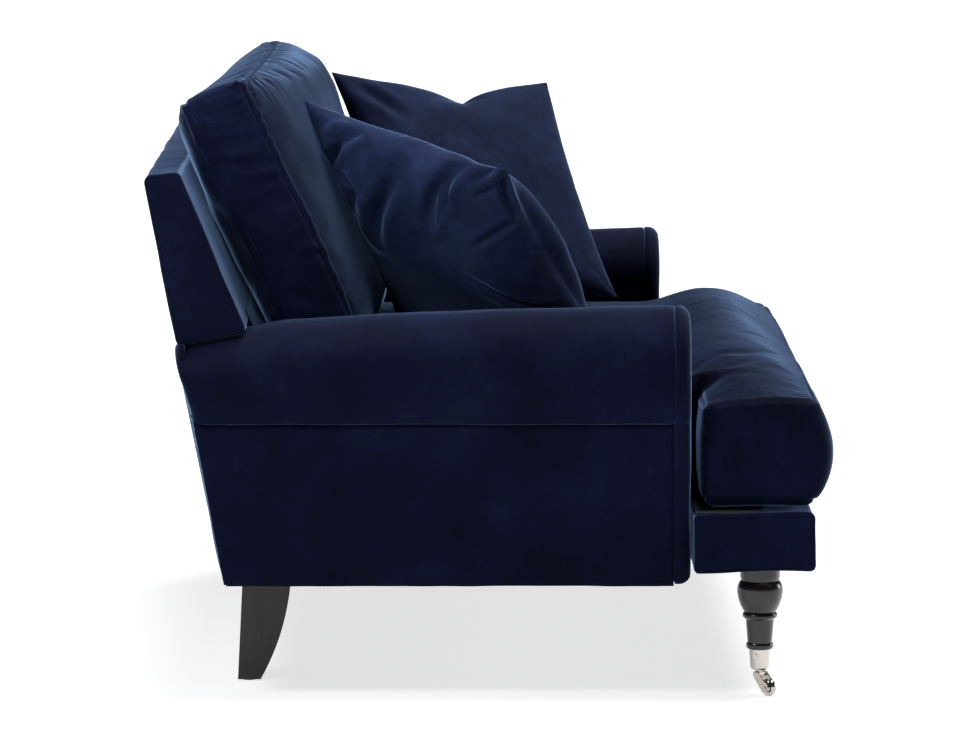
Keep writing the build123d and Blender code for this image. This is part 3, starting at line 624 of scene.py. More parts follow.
def metal_material(name, colour, roughness, scratch):
    """Metal with fine marks in its colour, shine and surface."""
    material, tree, shader = new_material(name)
    marks = noise_node(tree, object_place(tree, (260, 260, 900)), 1.0, 3.0, 0.6)
    tint = ramp_node(tree, marks, [(0.3, tuple(c * 0.88 for c in colour)), (0.7, colour)])
    tree.links.new(tint, shader.inputs["Base Color"])
    shader.inputs["Metallic"].default_value = 1.0
    shine = ramp_node(tree, marks, [(0.3, grey(roughness * 0.7)), (0.7, grey(roughness * 1.4))])
    tree.links.new(shine, shader.inputs["Roughness"])
    tree.links.new(bump_node(tree, marks, 0.0001, scratch), shader.inputs["Normal"])
    return material


def plastic_material(name, colour, roughness):
    """Moulded plastic with a fine speckle."""
    material, tree, shader = new_material(name)
    speckle = noise_node(tree, object_place(tree), 700, 2.0)
    tint = ramp_node(tree, speckle, [(0.3, tuple(c * 0.8 for c in colour)), (0.7, colour)])
    tree.links.new(tint, shader.inputs["Base Color"])
    shader.inputs["Roughness"].default_value = roughness
    tree.links.new(bump_node(tree, speckle, 0.0001, 0.3), shader.inputs["Normal"])
    return material


VELVET = velvet_material("velvet", np.array((0.72, 0.70, 0.85)))
# The scatter cushions get a lighter copy of the same velvet. This is painted light, lifting them to a
# brightness the lamps don't give them.
SCATTER_VELVET_PAINTED_LIGHT = velvet_material("scatter_velvet", np.array((3.2, 3.0, 2.3)))
THREAD = thread_material()
LINING = cloth_material("lining", (0.006, 0.006, 0.008), (0.022, 0.022, 0.026), 900)
WEBBING = cloth_material("webbing", (0.02, 0.02, 0.02), (0.09, 0.085, 0.08), 420)
FILLING = cloth_material("filling", (0.60, 0.58, 0.52), (0.86, 0.84, 0.78), 260)
TIMBER = wood_material("timber", (0.36, 0.23, 0.12), (0.60, 0.43, 0.26), 0.6, 0.0, "x")
TURNED = wood_material("turned_leg", (0.0040, 0.0038, 0.0040), (0.0080, 0.0076, 0.0080), 0.24, 0.3, "z")
SABRE = wood_material("sabre_leg", (0.0070, 0.0068, 0.0070), (0.0125, 0.0120, 0.0125), 0.46, 0.10, "z")
STEEL = metal_material("steel", (0.52, 0.52, 0.53), 0.38, 0.3)
NICKEL = metal_material("nickel", (0.50, 0.46, 0.43), 0.14, 0.08)
GLIDE = plastic_material("glide", (0.03, 0.03, 0.03), 0.55)


def dress(piece, material, body="frame", replaces=()):
    """Gives a piece its material and the body it rides on."""
    piece.data.materials.clear()
    piece.data.materials.append(material)
    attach(piece, body)
    if replaces:
        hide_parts(*replaces)
    return piece


# ---- Arms ----
def rear_y(z):
    """Y of the raked back of the arms and base at height z."""
    return REAR_LOW[1] + 3 + REAR_SLOPE * (z - REAR_LOW[2])


def arm_drop(y):
    """How far the top of an arm has fallen by y, on its way to the back section."""
    return np.interp(y, (-266, 96, 287, 421, 440), (0, 9, 20, 46, 51))


# The segment inside an arm's outline that its ends close in towards
ARM_CORE = ((571, 225), (574, 484))


def arm_outline(outer_x):
    """An arm seen from the front, in (x, z): flat side up to the seam, roll, and inner side."""
    low, high, seam_z = ARM_BOTTOM_Z, FACING_HIGH[2], ARM_SEAM_Z
    inner, outer = FACING_LOW[0], FACING_HIGH[0]
    roll_inner = outer - 2 * ARM_ROLL_RADIUS
    side = [(inner, low, 6), (outer_x, low, 5), (outer_x, seam_z - 2, 1.5)]
    roll = [
        (outer - 12, seam_z, 2), (outer, seam_z + 34, 26),
        (outer, high, ARM_ROLL_RADIUS), (roll_inner, high, ARM_ROLL_RADIUS),
    ]
    return rounded_outline(side + roll + [(roll_inner, 430, 20), (inner, 396, 14)], 5.0)


def arm_place(sign):
    """Places an arm's outline along Y, from its front to the raked back, with its top falling behind."""
    def place(flat, station, shift):
        x, z = flat[:, 0], flat[:, 1].copy()
        y = ARM_LOW[1] + (rear_y(z) - ARM_LOW[1]) * station + shift
        lift = smoothstep(z, ARM_SEAM_Z, FACING_HIGH[2])
        z -= arm_drop(y) * lift
        return np.column_stack([sign * x, y, z])
    return place


def make_arm_roll(side, sign):
    """The rolled arm: its top, inner side and what lies under the side panel."""
    rings = end_rings(0.0, -1, 4, 0, 0)[::-1] + straight_run(0.012, 0.97, 110) + end_rings(1.0, 1, 12, 3, 1.6)
    piece = loft(f"roll_{side}", arm_outline(ARM_OUTER_X - 9), ARM_CORE, arm_place(sign), rings)
    ruffle(piece, [(0.9, 260), (0.35, 90)], 11 + sign)
    dress(piece, VELVET, replaces=(f"arm_cover_{side}", f"arm_padding_{side}"))
    y = np.linspace(ARM_LOW[1] + 8, rear_y(ARM_SEAM_Z) - 14, 90)
    seam = np.column_stack([np.full_like(y, sign * (ARM_OUTER_X + 2)), y, np.full_like(y, ARM_SEAM_Z)])
    topstitch(f"roll_stitches_{side}", piece, seam, seam + (0, 0, 40), "frame")
    return piece


# The millimetres that a full share across a flat panel counts as, where its padding swells near an edge
PANEL_SPAN = 640


def make_side_panel(side, sign):
    """The flat outer side below the roll seam, padded and sewn along its edges."""
    u, v = shares(44, 112)
    low, high = ARM_BOTTOM_Z - 2, ARM_SEAM_Z - 1
    z = low + (high - low) * v
    y = ARM_LOW[1] + 1 + (rear_y(z) - 5 - ARM_LOW[1]) * u
    away = np.minimum(np.minimum(u * PANEL_SPAN, (1 - u) * PANEL_SPAN), np.minimum(v, 1 - v) * (high - low))
    swell = 1.8 * (1 - np.exp(-away / 14))
    outside = np.stack([sign * (ARM_OUTER_X - 2 + swell), y, z], axis=2)
    within = np.stack([sign * np.full_like(y, ARM_OUTER_X - 10), y, z], axis=2)
    piece = pad(f"side_{side}", outside, within, straight_rim((0.25, 0.5, 0.75)))
    ruffle(piece, [(0.7, 240), (0.3, 80)], 21 + sign)
    return dress(piece, VELVET, replaces=(f"side_panel_{side}",))


def make_facing(side, sign):
    """The front of an arm: a shaped facing, rounded over, with a seam round it."""
    outline = arm_outline(ARM_OUTER_X)
    depth = FACING_HIGH[1] - FACING_LOW[1]

    def place(flat, station, shift):
        y = FACING_HIGH[1] - depth * station + shift
        return np.column_stack([sign * flat[:, 0], np.full(len(flat), y), flat[:, 1]])

    rings = [(6, 0.3, 0.0, 0), (3, 0.0, 0.0, 0), (1.8, 0.0, 0.0, -0.6), (0.2, 0.0, 0.0, -1.6)]
    rings += end_rings(1.0, -1, 16, 1.5, 0)
    piece = loft(f"facing_{side}", outline, ARM_CORE, place, rings)
    ruffle(piece, [(0.5, 160)], 31 + sign)
    return dress(piece, VELVET, replaces=(f"arm_facing_{side}",))


def make_rear_panel():
    """The raked outside back of the base."""
    u, v = shares(44, 150, -1)
    low, high = REAR_LOW[2], REAR_HIGH[2] - 3
    z = low + (high - low) * v
    x = u * (ARM_OUTER_X - 3)
    away = np.minimum((1 - np.abs(u)) * PANEL_SPAN, np.minimum(v, 1 - v) * (high - low))
    outside = np.stack([x, rear_y(z) - 1.5 + 1.8 * (1 - np.exp(-away / 16)), z], axis=2)
    within = np.stack([x, rear_y(z) - 8, z], axis=2)
    piece = pad("rear_panel", outside, within, straight_rim((0.3, 0.6)))
    ruffle(piece, [(0.6, 260), (0.25, 90)], 41)
    return dress(piece, VELVET, replaces=("rear_cover",))


# ---- Front border ----
def make_border():
    """The padded rail under the front of the seat, its tips reaching past the arms."""
    low, high = BORDER_LOW, BORDER_HIGH
    outline = rounded_outline(
        [(low[1], low[2], 7), (high[1], low[2], 6), (high[1], high[2], 6), (low[1], high[2], 11)], 4.5
    )
    middle_z = (low[2] + high[2]) / 2
    core = ((low[1] + 45, middle_z), (high[1] - 45, middle_z))

    def place(flat, station, shift):
        x = high[0] * station + shift
        rise = smoothstep(flat[:, 0], high[1], low[1]) * 4 * np.abs(station) ** 4
        return np.column_stack([np.full(len(flat), x), flat[:, 0], flat[:, 1] + rise])

    piece = loft("border", outline, core, place, capped_run(150, 4, 0.8, 0.9))
    ruffle(piece, [(0.7, 180), (0.3, 60)], 51)
    return dress(piece, VELVET, replaces=("border_cover", "border_padding"))


# ---- Back section ----
def make_back_section():
    """The upholstered back above the arms."""
    outline = rounded_outline(
        [
            (BACK_HIGH[1], BACK_HIGH[2] - 5, 11), (BACK_HIGH[1] - 51.7, BACK_HIGH[2], 9),
            (338, 524, 9), (437.6, 506, 7),
        ],
        4.5,
    )
    core = ((437, 712), (407, 560))
    piece = loft("back_section", outline, core, across_place(BACK_WING_X), capped_run(150, 4, 0.8, 1.2))
    ruffle(piece, [(0.8, 220), (0.35, 80)], 61)
    return dress(piece, VELVET, replaces=("back_cover", "back_padding"))


TONGUE_HALF = 497


def make_back_tongue():
    """The lower part of the back, between the arms, down to the platform."""
    corners = [(366, 545, 3), (345, 545, 6), (236.5, 291, 4), (329, 291, 3), (416, 512, 3)]
    outline = rounded_outline(corners, 6.0)
    core = ((300, 320), (372, 500))
    piece = loft("back_tongue", outline, core, across_place(TONGUE_HALF), capped_run(90, 5, 0, 0))
    ruffle(piece, [(0.6, 200)], 65)
    return dress(piece, VELVET)


# ---- Platform and dust cover ----
def flat_sheet(name, corners, z, thickness, sag):
    """A stretched cloth over a polygon of (x, y) corners, drawn as a grid of cells inside it."""
    corners = np.array(corners, float)
    xs, ys = (
        np.unique(np.concatenate([np.linspace(edge.min(), edge.max(), count), edge]))
        for edge, count in ((corners[:, 0], 90), (corners[:, 1], 60))
    )
    cells = []
    for i in range(len(xs) - 1):
        for j in range(len(ys) - 1):
            if inside(corners, (xs[i] + xs[i + 1]) / 2, (ys[j] + ys[j + 1]) / 2):
                cells.append((i, j))
    vertices, faces, index = [], [], {}

    def vertex(i, j, level):
        key = (i, j, level)
        if key not in index:
            index[key] = len(vertices)
            dip = sag * math.sin(math.pi * i / (len(xs) - 1)) * math.sin(math.pi * j / (len(ys) - 1))
            vertices.append((xs[i], ys[j], z - dip + level * thickness))
        return index[key]

    filled = set(cells)
    for i, j in cells:
        faces.append([vertex(i, j, 1), vertex(i + 1, j, 1), vertex(i + 1, j + 1, 1), vertex(i, j + 1, 1)])
        faces.append([vertex(i, j, 0), vertex(i, j + 1, 0), vertex(i + 1, j + 1, 0), vertex(i + 1, j, 0)])
        for di, dj, a, b in (
            (-1, 0, (i, j + 1), (i, j)), (1, 0, (i + 1, j), (i + 1, j + 1)),
            (0, -1, (i, j), (i + 1, j)), (0, 1, (i + 1, j + 1), (i, j + 1)),
        ):
            if (i + di, j + dj) not in filled:
                faces.append([vertex(*a, 0), vertex(*b, 0), vertex(*b, 1), vertex(*a, 1)])
    return mesh_piece(name, np.array(vertices), faces)


def inside(corners, x, y):
    """Whether a point is inside a polygon."""
    hit = False
    for (x0, y0), (x1, y1) in zip(corners, np.roll(corners, -1, axis=0)):
        if (y0 > y) != (y1 > y) and x < (x1 - x0) * (y - y0) / (y1 - y0) + x0:
            hit = not hit
    return hit


def t_corners(ear_x, stem_x, front_y, ear_y, back_y):
    """The corners of a T with its ears at the front."""
    return [
        (-ear_x, front_y), (ear_x, front_y), (ear_x, ear_y), (stem_x, ear_y),
        (stem_x, back_y), (-stem_x, back_y), (-stem_x, ear_y), (-ear_x, ear_y),
    ]


PLATFORM_STEM_X = 503.0


def make_platform():
    """The T-shaped cloth over the springs, under the seat cushion."""
    ear_y = BORDER_HIGH[1] - 2
    corners = t_corners(DECK_HIGH[0], PLATFORM_STEM_X, DECK_LOW[1], ear_y, DECK_HIGH[1])
    piece = flat_sheet("platform", corners, DECK_HIGH[2] - 1.6, 1.2, 1.0)
    dress(piece, LINING, replaces=("seat_deck",))


def make_dust_sheet():
    """The cloth under the base."""
    low, high = DUST_LOW, DUST_HIGH
    corners = [(low[0], low[1]), (high[0], low[1]), (high[0], high[1]), (low[0], high[1])]
    piece = flat_sheet("dust_sheet", corners, low[2] + 0.3, 0.9, 0.0)
    dress(piece, LINING, replaces=("dust_cover",))


# ---- Seat cushion ----
SEAT_SEAM_Z = 428.0
SEAT_FRONT_SEAM_Y = SEAT_LOW[1] + 23
SEAT_EAR_REAR_Y = -304.0
SEAT_STEM_X = 497.0
SEAT_CELL = 8.2
SEAT_RINGS = 17
SEAT_CREST = 67
SEAT_CREST_FALL = 13
SEAT_FRONT_RUN = 122
SEAT_EAR_RUN = 60
SEAT_REAR_RUN = 34
SEAT_REAR_FALL = 0.6
SEAT_SEAM_FALL = 10
SEAT_FRONT_BULGE = 23.5
SEAT_SIDE_BULGE = 3.0


def seat_top(x, y):
    """Height of the top panel: seam, full front crown, then lower between the arms."""
    front = 1 - (1 - np.clip((y - SEAT_FRONT_SEAM_Y) / SEAT_FRONT_RUN, 0, 1)) ** 2
    crest = SEAT_CREST - SEAT_CREST_FALL * smoothstep(y, -345, -262)
    ears = 1 - smoothstep(y, SEAT_EAR_REAR_Y - 10, SEAT_EAR_REAR_Y + SEAT_EAR_RUN)
    half = SEAT_HIGH[0] * ears + SEAT_STEM_X * (1 - ears)
    across = 1 - np.clip(np.abs(x) / half, 0, 1) ** 3.2
    ear_rear = np.clip((SEAT_EAR_REAR_Y - y) / SEAT_EAR_RUN, 0, 1)
    in_ear = np.abs(x) > SEAT_STEM_X
    rear_fall = np.where(in_ear, 1 - (1 - ear_rear) ** 2, 1.0)
    back = 1 - (1 - np.clip((SEAT_HIGH[1] - y) / SEAT_REAR_RUN, 0, 1)) ** 2 * SEAT_REAR_FALL
    seam = SEAT_SEAM_Z - SEAT_SEAM_FALL * smoothstep(y, SEAT_FRONT_SEAM_Y + 60, SEAT_EAR_REAR_Y + 40)
    return seam + crest * front * across * rear_fall * back


def seat_grid():
    """The T-shaped grid of the cushion's panels: points, cells and the boundary loop."""
    ear, stem = SEAT_HIGH[0] - 3, SEAT_STEM_X
    front, ear_rear, rear = SEAT_FRONT_SEAM_Y, SEAT_EAR_REAR_Y, SEAT_HIGH[1]

    def steps(low, high):
        return np.linspace(low, high, int(round((high - low) / SEAT_CELL)) + 1)

    xs = np.concatenate([steps(-ear, -stem), steps(-stem, stem)[1:], steps(stem, ear)[1:]])
    ys = np.concatenate([steps(front, ear_rear), steps(ear_rear, rear)[1:]])
    kept = {}
    cells = []
    for i in range(len(xs) - 1):
        for j in range(len(ys) - 1):
            if abs((xs[i] + xs[i + 1]) / 2) < stem or (ys[j] + ys[j + 1]) / 2 < ear_rear:
                around = ((i, j), (i + 1, j), (i + 1, j + 1), (i, j + 1))
                cells.append([kept.setdefault(corner, len(kept)) for corner in around])
    points = np.array([(xs[i], ys[j]) for i, j in kept])
    sides = {side: True for a, b, c, d in cells for side in ((a, b), (b, c), (c, d), (d, a))}
    following = {first: second for first, second in sides if (second, first) not in sides}
    loop = [next(iter(following))]
    while following[loop[-1]] != loop[0]:
        loop.append(following[loop[-1]])
    for cx, cy, radius in ((ear, front, 15), (ear, ear_rear, 12), (stem, rear, 20)):
        for sign in (-1, 1):
            round_corner(points, sign * cx, cy, sign, -1 if cy == front else 1, radius)
    return points, cells, loop


def round_corner(points, corner_x, corner_y, side, end, radius):
    """Bends the grid near one outer corner onto an arc."""
    centre = np.array((corner_x - side * radius, corner_y - end * radius))
    away = points - centre
    beyond = (away[:, 0] * side > 0) & (away[:, 1] * end > 0)
    reach = np.maximum(np.abs(away[:, 0]), np.abs(away[:, 1]))
    length = np.maximum(np.linalg.norm(away, axis=1), 1e-9)
    bent = centre + away * (reach / length)[:, None]
    points[beyond] = bent[beyond]


def seat_border_bulge(points, share):
    """How far the border stands out between its seams: full at the front, flatter at the sides."""
    front = smoothstep(-points[:, 1], -SEAT_FRONT_SEAM_Y - 17, -SEAT_FRONT_SEAM_Y)
    side = SEAT_SIDE_BULGE * smoothstep(-points[:, 1], 300, 330)
    peak = math.sin(math.pi * share) ** (0.8 if share < 0.5 else 0.65)
    return (SEAT_FRONT_BULGE * front + side * (1 - front)) * peak


def make_seat_cushion():
    """The T-shaped seat cushion: crowned top panel, border that bulges at the front, flat underside."""
    flat, cells, loop = seat_grid()
    loop = np.array(loop)
    outline = flat[loop]
    normals = outward(outline)
    low = SEAT_LOW[2] + 1
    top = np.column_stack([flat, seat_top(flat[:, 0], flat[:, 1])])
    edge = np.column_stack([outline, np.zeros(len(outline))])
    rim_gap = np.exp(-nearest_distance(np.column_stack([flat, np.zeros(len(flat))]), edge) / 9)
    bottom = np.column_stack([flat, low + rim_gap * 12.6])
    count = len(flat)
    vertices = [top, bottom]
    faces = [tuple(cell) for cell in cells] + [tuple(count + v for v in cell[::-1]) for cell in cells]
    rings = [loop]
    for order in range(1, SEAT_RINGS):
        share = order / SEAT_RINGS
        level = top[loop, 2] * (1 - share) + bottom[loop, 2] * share
        out = outline + normals * seat_border_bulge(outline, share)[:, None]
        vertices.append(np.column_stack([out, level]))
        start = 2 * count + (order - 1) * len(loop)
        rings.append(np.arange(start, start + len(loop)))
    rings.append(loop + count)
    for first, second in zip(rings, rings[1:]):
        for step in range(len(loop)):
            after = (step + 1) % len(loop)
            faces.append((int(first[step]), int(second[step]), int(second[after]), int(first[after])))
    piece = mesh_piece("seat_cushion_looks", np.vstack(vertices), faces)
    seams = np.vstack([top[loop], bottom[loop]])
    points = coordinates(piece.data)
    pins = seam_pins(points, seams)
    pins[points[:, 2] < low + 4] = 1.0
    inflate(piece, 6.0, 0.008, 5, pins)
    subdivide(piece)
    ruffle(piece, [(1.3, 230), (0.4, 80)], 81)
    pucker(piece, top[loop], 1.7, 15, 26, 82)
    sink_seam(piece, top[loop], 3.0, 3.6)
    sink_seam(piece, bottom[loop], 2.4, 3.6)
    inward = top[loop] - np.column_stack([normals, np.zeros(len(loop))]) * 40
    topstitch("seat_stitches_top", piece, top[loop], inward, "seat_cushion")
    topstitch("seat_stitches_border", piece, top[loop], bottom[loop], "seat_cushion")
    dress(
        piece, VELVET, "seat_cushion",
        ("seat_cushion_cover", "seat_cushion_core"),
    )
    return piece


def nearest_distance(points, path):
    """Distance from each point to a path of close points."""
    tree = tree_of(path)
    return np.array([tree.find(point)[2] for point in points])


def seam_pins(points, path):
    """Pin weights that hold the points on a seam and leave the rest free."""
    return np.where(nearest_distance(points, path) < 3, 1.0, 0.0)


def densify(path, spacing=3.0):
    """A closed path resampled to evenly spaced points."""
    path = np.vstack([path, path[:1]])
    travelled = travelled_along(path)
    return at_stops(path, travelled, np.arange(0, travelled[-1], spacing))


def sink_seam(piece, path, depth, width):
    """Draws the fabric in along a sewn seam."""
    points = coordinates(piece.data)
    distance = nearest_distance(points, densify(path))
    press = depth * (np.exp(-((distance / width) ** 2)) - 0.3 * np.exp(-((distance / width - 2.2) ** 2)))
    set_coordinates(piece.data, points - vertex_normals(piece.data) * press[:, None])


# ---- Back cushion ----
BACK_ORIGIN = np.array((0.0, 265.0, 480.0))
BACK_INCLINE = math.radians(24.9)
BACK_UP = np.array((0.0, math.sin(BACK_INCLINE), math.cos(BACK_INCLINE)))
BACK_FRONT = np.array((0.0, -math.cos(BACK_INCLINE), math.sin(BACK_INCLINE)))
BACK_HALF = 497.0
BACK_BOTTOM_S = -28.0
BACK_TOP_S = 391.0
BACK_TOP_CROWN = 6.0
BACK_SLUMP = 12.0
BACK_REAR_SLUMP = 34.0
BACK_TOP_BOW = 30.0
BACK_BORDER = 86.0
BACK_FRONT_CROWN = 72.0
BACK_REAR_CROWN = 33.0
# How flat a panel is across, how steeply it falls to its sides, and how steeply to its top and bottom
BACK_FRONT_FALL = (2.6, 0.9, 0.72)
BACK_REAR_FALL = (12.0, 0.55, 0.55)
# Creases on the side border: start and end as (share across, share down), width, depth
BACK_CREASES = [
    ((0.08, 0.05), (0.50, 0.12), 7, -6.0),
    ((0.05, 0.15), (0.75, 0.20), 8, 5.0),
    ((0.12, 0.23), (0.95, 0.30), 7, 7.5),
    ((0.40, 0.34), (0.95, 0.36), 7, 5.5),
    ((0.10, 0.40), (0.60, 0.47), 10, 4.0),
    ((0.55, 0.52), (1.00, 0.50), 7, 5.0),
    ((0.65, 0.63), (1.02, 0.65), 6, 5.5),
    ((0.15, 0.72), (0.60, 0.80), 10, 3.5),
]


def back_point(x, s, t):
    """A point of the back cushion from across, up the incline, and out to the front."""
    x, s, t = np.broadcast_arrays(x, s, t)
    across = x[..., None] * np.array((1.0, 0, 0))
    return across + BACK_ORIGIN + s[..., None] * BACK_UP + t[..., None] * BACK_FRONT


def back_panel(crown, top_crown, slump, edge_t, direction, bow, fall):
    """A panel of the back cushion, rounded up from its seam like a filled bag. slump lowers its top
    towards +X, and bow fills out its upper part."""
    flatness, side_fall, end_fall = fall
    rows, columns = 64, 140
    turn = np.linspace(0, math.pi, rows)[:, None] * np.ones(columns)
    u = np.ones(rows)[:, None] * np.sin(np.linspace(-math.pi / 2, math.pi / 2, columns))
    u = 0.35 * u + 0.65 * np.linspace(-1, 1, columns)
    top = BACK_TOP_S + top_crown * (1 - np.abs(u) ** 2.2) - slump * (1 + u) / 2
    middle, half = (top + BACK_BOTTOM_S) / 2, (top - BACK_BOTTOM_S) / 2
    height = -np.cos(turn)
    s = middle + half * np.sign(height) * np.abs(height) ** 0.8
    across = (1 - np.abs(u) ** flatness) ** side_fall
    swell = crown * across * np.sin(turn) ** end_fall + bow * across * smoothstep(height, -0.2, 1)
    return back_point(BACK_HALF * u, s, edge_t + direction * swell)


def make_back_cushion():
    """A box cushion with a full front, a slightly raised top and a sewn border."""
    front = back_panel(
        BACK_FRONT_CROWN, BACK_TOP_CROWN, BACK_SLUMP, BACK_BORDER, 1, BACK_TOP_BOW, BACK_FRONT_FALL
    )
    rear = back_panel(BACK_REAR_CROWN, 0.0, BACK_REAR_SLUMP, 0.0, -1, 0.0, BACK_REAR_FALL)

    def rim(front_edge, rear_edge):
        middle = (front_edge + rear_edge) / 2 - BACK_ORIGIN
        side = np.abs(middle[:, 0]) > BACK_HALF - 1
        upright = middle @ BACK_UP > 150
        sideways = np.sign(middle[:, 0])[:, None] * np.array((1.0, 0, 0))
        direction = np.where(side[:, None], sideways, np.where(upright, 1.0, -1.0)[:, None] * BACK_UP)
        rings = []
        for share in np.linspace(0, 1, 13)[1:-1]:
            bulge = np.sin(np.pi * share) ** 0.75 * np.where(side, 3.0, 1.0)
            rings.append(front_edge * (1 - share) + rear_edge * share + direction * bulge[:, None])
        return rings

    piece = pad("back_cushion_looks", front, rear, rim)
    edge, rear_edge = grid_edge(front), grid_edge(rear)
    points = coordinates(piece.data)
    pins = seam_pins(points, np.vstack([edge, rear_edge]))
    inflate(piece, 9.0, 0.02, 6, pins)
    subdivide(piece)
    ruffle(piece, [(1.6, 200), (0.8, 80)], 91)
    pucker(piece, edge, 2.6, 17, 34, 92)
    pucker(piece, rear_edge, 2.2, 21, 24, 94)
    for start, end, width, depth in BACK_CREASES:
        crease(piece, back_border_point(*start), back_border_point(*end), width, depth)
        crease(piece, back_border_point(*end, 1), back_border_point(*start, 1), width, depth)
    sink_seam(piece, edge, 4.4, 3.4)
    sink_seam(piece, rear_edge, 4.0, 3.4)
    for order, (path, toward) in enumerate(((edge, rear_edge), (rear_edge, edge))):
        inward = np.broadcast_to(path.mean(axis=0), path.shape)
        topstitch(f"back_stitches_{order}", piece, path, toward, "back_cushion")
        topstitch(f"back_panel_stitches_{order}", piece, path, inward, "back_cushion")
    dress(
        piece, VELVET, "back_cushion",
        ("back_cushion_cover", "back_cushion_core"),
    )
    return piece


def back_border_point(across, down, side=-1):
    """A point on the side border, from its share across from the rear seam and its share down."""
    s = BACK_TOP_S + (BACK_BOTTOM_S - BACK_TOP_S) * down
    x = np.array(side * (BACK_HALF + 5))
    return back_point(x, np.array(s), np.array(across * BACK_BORDER))


def grid_edge(grid):
    """The boundary of a grid of points, in order."""
    return np.vstack([grid[0], grid[1:, -1], grid[-1, -2::-1], grid[-2:0:-1, 0]])


# ---- Scatter cushions ----
SCATTER_CELLS = 84
# The size of the flat panel that the folds are placed on
SCATTER_CUT = 415.0
# Thickness before the filling is blown in
SCATTER_START = 46.0
# corners: top left, top right, bottom right, bottom left. folds: (panel, width, depth, points on the panel)
SCATTERS = {
    "left": {
        "corners": ((-330, 272, 836), (-500, -25, 743), (-378, -172, 486), (-190, 128, 486)),
        "cut": 405.0, "pressure": 150.0, "dip": 0.0, "dip_at": 0.5, "wrinkle": 3.0, "seed": 7,
        "folds": [
            (1, 9, 18, [(126, 6), (80, 38), (42, 84), (38, 134)]),
            (1, 6, 8, [(95, 12), (58, 40), (30, 60)]),
            (1, 8, 8, [(66, 92), (84, 120), (60, 150)]),
            (1, 13, 15, [(210, 40), (150, 110), (118, 150), (88, 200)]),
            (1, 11, 13, [(328, 8), (262, 76), (228, 142)]),
            (1, 7, 8, [(300, 40), (284, 84), (262, 120)]),
            (1, 7, -10, [(406, 8), (338, 54)]),
            (1, 7, 6, [(396, 110), (350, 140), (300, 174)]),
            (1, 7, 15, [(404, 12), (396, 54), (400, 100)]),
            (1, 10, 5, [(250, 240), (320, 300), (390, 320)]),
            (0, 26, -22, [(378, 50), (384, 200), (378, 350)]),
            (0, 10, 6.5, [(30, 380), (110, 330)]),
        ],
    },
    "right": {
        "corners": ((185, 238, 838), (398, -101, 806), (240, -210, 480), (40, 120, 488)),
        "cut": 415.0, "pressure": 130.0, "dip": 31.0, "dip_at": 0.56, "wrinkle": 1.5, "seed": 9,
        "folds": [
            (1, 8, 4, [(16, 8), (50, 38), (60, 60)]),
            (1, 10, 4, [(232, 30), (226, 60), (240, 84)]),
            (1, 14, 3, [(240, 104), (176, 84), (150, 60)]),
            (1, 9, 6, [(404, 392), (366, 400), (330, 409)]),
            (1, 16, 2.5, [(60, 180), (120, 260), (200, 300)]),
            (0, 12, 5, [(30, 30), (90, 90)]),
        ],
    },
}


def scatter_patch(facts):
    """A patch through four corners, top left, top right, bottom right and bottom left, its top dipped."""
    top_left, top_right, low_right, low_left = (np.array(c, float) for c in facts["corners"])
    u, v = shares(SCATTER_CELLS + 1, SCATTER_CELLS + 1)
    u3, v3 = u[..., None], v[..., None]
    top, bottom = top_left * (1 - u3) + top_right * u3, low_left * (1 - u3) + low_right * u3
    patch = top * (1 - v3) + bottom * v3
    down = low_left + low_right - top_left - top_right
    down /= np.linalg.norm(down)
    dip = facts["dip"] * np.exp(-np.abs(u - facts["dip_at"]) / 0.17) * np.sin(np.pi * u) * (1 - v) ** 3
    patch = patch + down * dip[..., None]
    normal = np.cross(top_right - top_left, low_left - top_left)
    return patch, u, v, normal / np.linalg.norm(normal)


def scatter_places(points, one, other):
    """For each vertex, its panel, 0 or 1, and its place on the flat panel it was cut from."""
    size = SCATTER_CELLS + 1
    tree = tree_of(np.vstack([one.reshape(-1, 3), other.reshape(-1, 3)]))
    nearest = np.array([tree.find(point)[1] for point in points])
    panel, cell = nearest // (size * size), nearest % (size * size)
    share = np.column_stack([cell % size, cell // size]) / (size - 1)
    return np.column_stack([panel, share * SCATTER_CUT])


def make_scatter(side):
    """A knife-edge cushion, cut square, blown up by its filling and folded."""
    facts = SCATTERS[side]
    patch, u, v, normal = scatter_patch(facts)
    wrinkles = soft_noise(patch.reshape(-1, 3), 90, facts["seed"]).reshape(u.shape)
    patch = patch + normal * (facts["wrinkle"] * wrinkles)[..., None]
    belly = (np.clip(4 * u * (1 - u), 0, 1) * np.clip(4 * v * (1 - v), 0, 1)) ** 0.55
    half = SCATTER_START / 2 * belly
    one = patch + normal * half[..., None]
    other = patch - normal * half[..., None]
    piece = pad(f"scatter_{side}_looks", one, other, straight_rim(()))
    points = coordinates(piece.data)
    places = scatter_places(points, one, other)
    corners = np.array(facts["corners"], float)
    distance = np.min(np.linalg.norm(points[:, None] - corners[None], axis=2), axis=1)
    rest = np.column_stack([places[:, 1:] * facts["cut"] / SCATTER_CUT, 0.5 - places[:, 0]])
    pins = np.where(distance < 7, 1.0, 0.0)
    inflate(piece, facts["pressure"], 0.0, 70, pins, rest, frames=26, bending=0.12)
    press_folds(piece, places, facts["folds"])
    subdivide(piece)
    # Painted light: the scatter cushion wears the lighter copy of the velvet.
    dress(
        piece, SCATTER_VELVET_PAINTED_LIGHT, f"scatter_{side}",
        (f"scatter_cover_{side}", f"scatter_pad_{side}"),
    )
    return piece


# ---- Carried-over CAD nodes ----
CAD_LOOKS = {
    "timber": TIMBER, "steel": STEEL, "clip_steel": STEEL, "webbing": WEBBING, "foam": FILLING,
    "filling": FILLING, "velvet": VELVET, "cushion_velvet": VELVET, "scatter_velvet": VELVET,
    "lining": LINING, "zip_tape": LINING, "nickel": NICKEL, "turned_wood": TURNED, "leg_wood": SABRE,
    "glide_plastic": GLIDE,
}


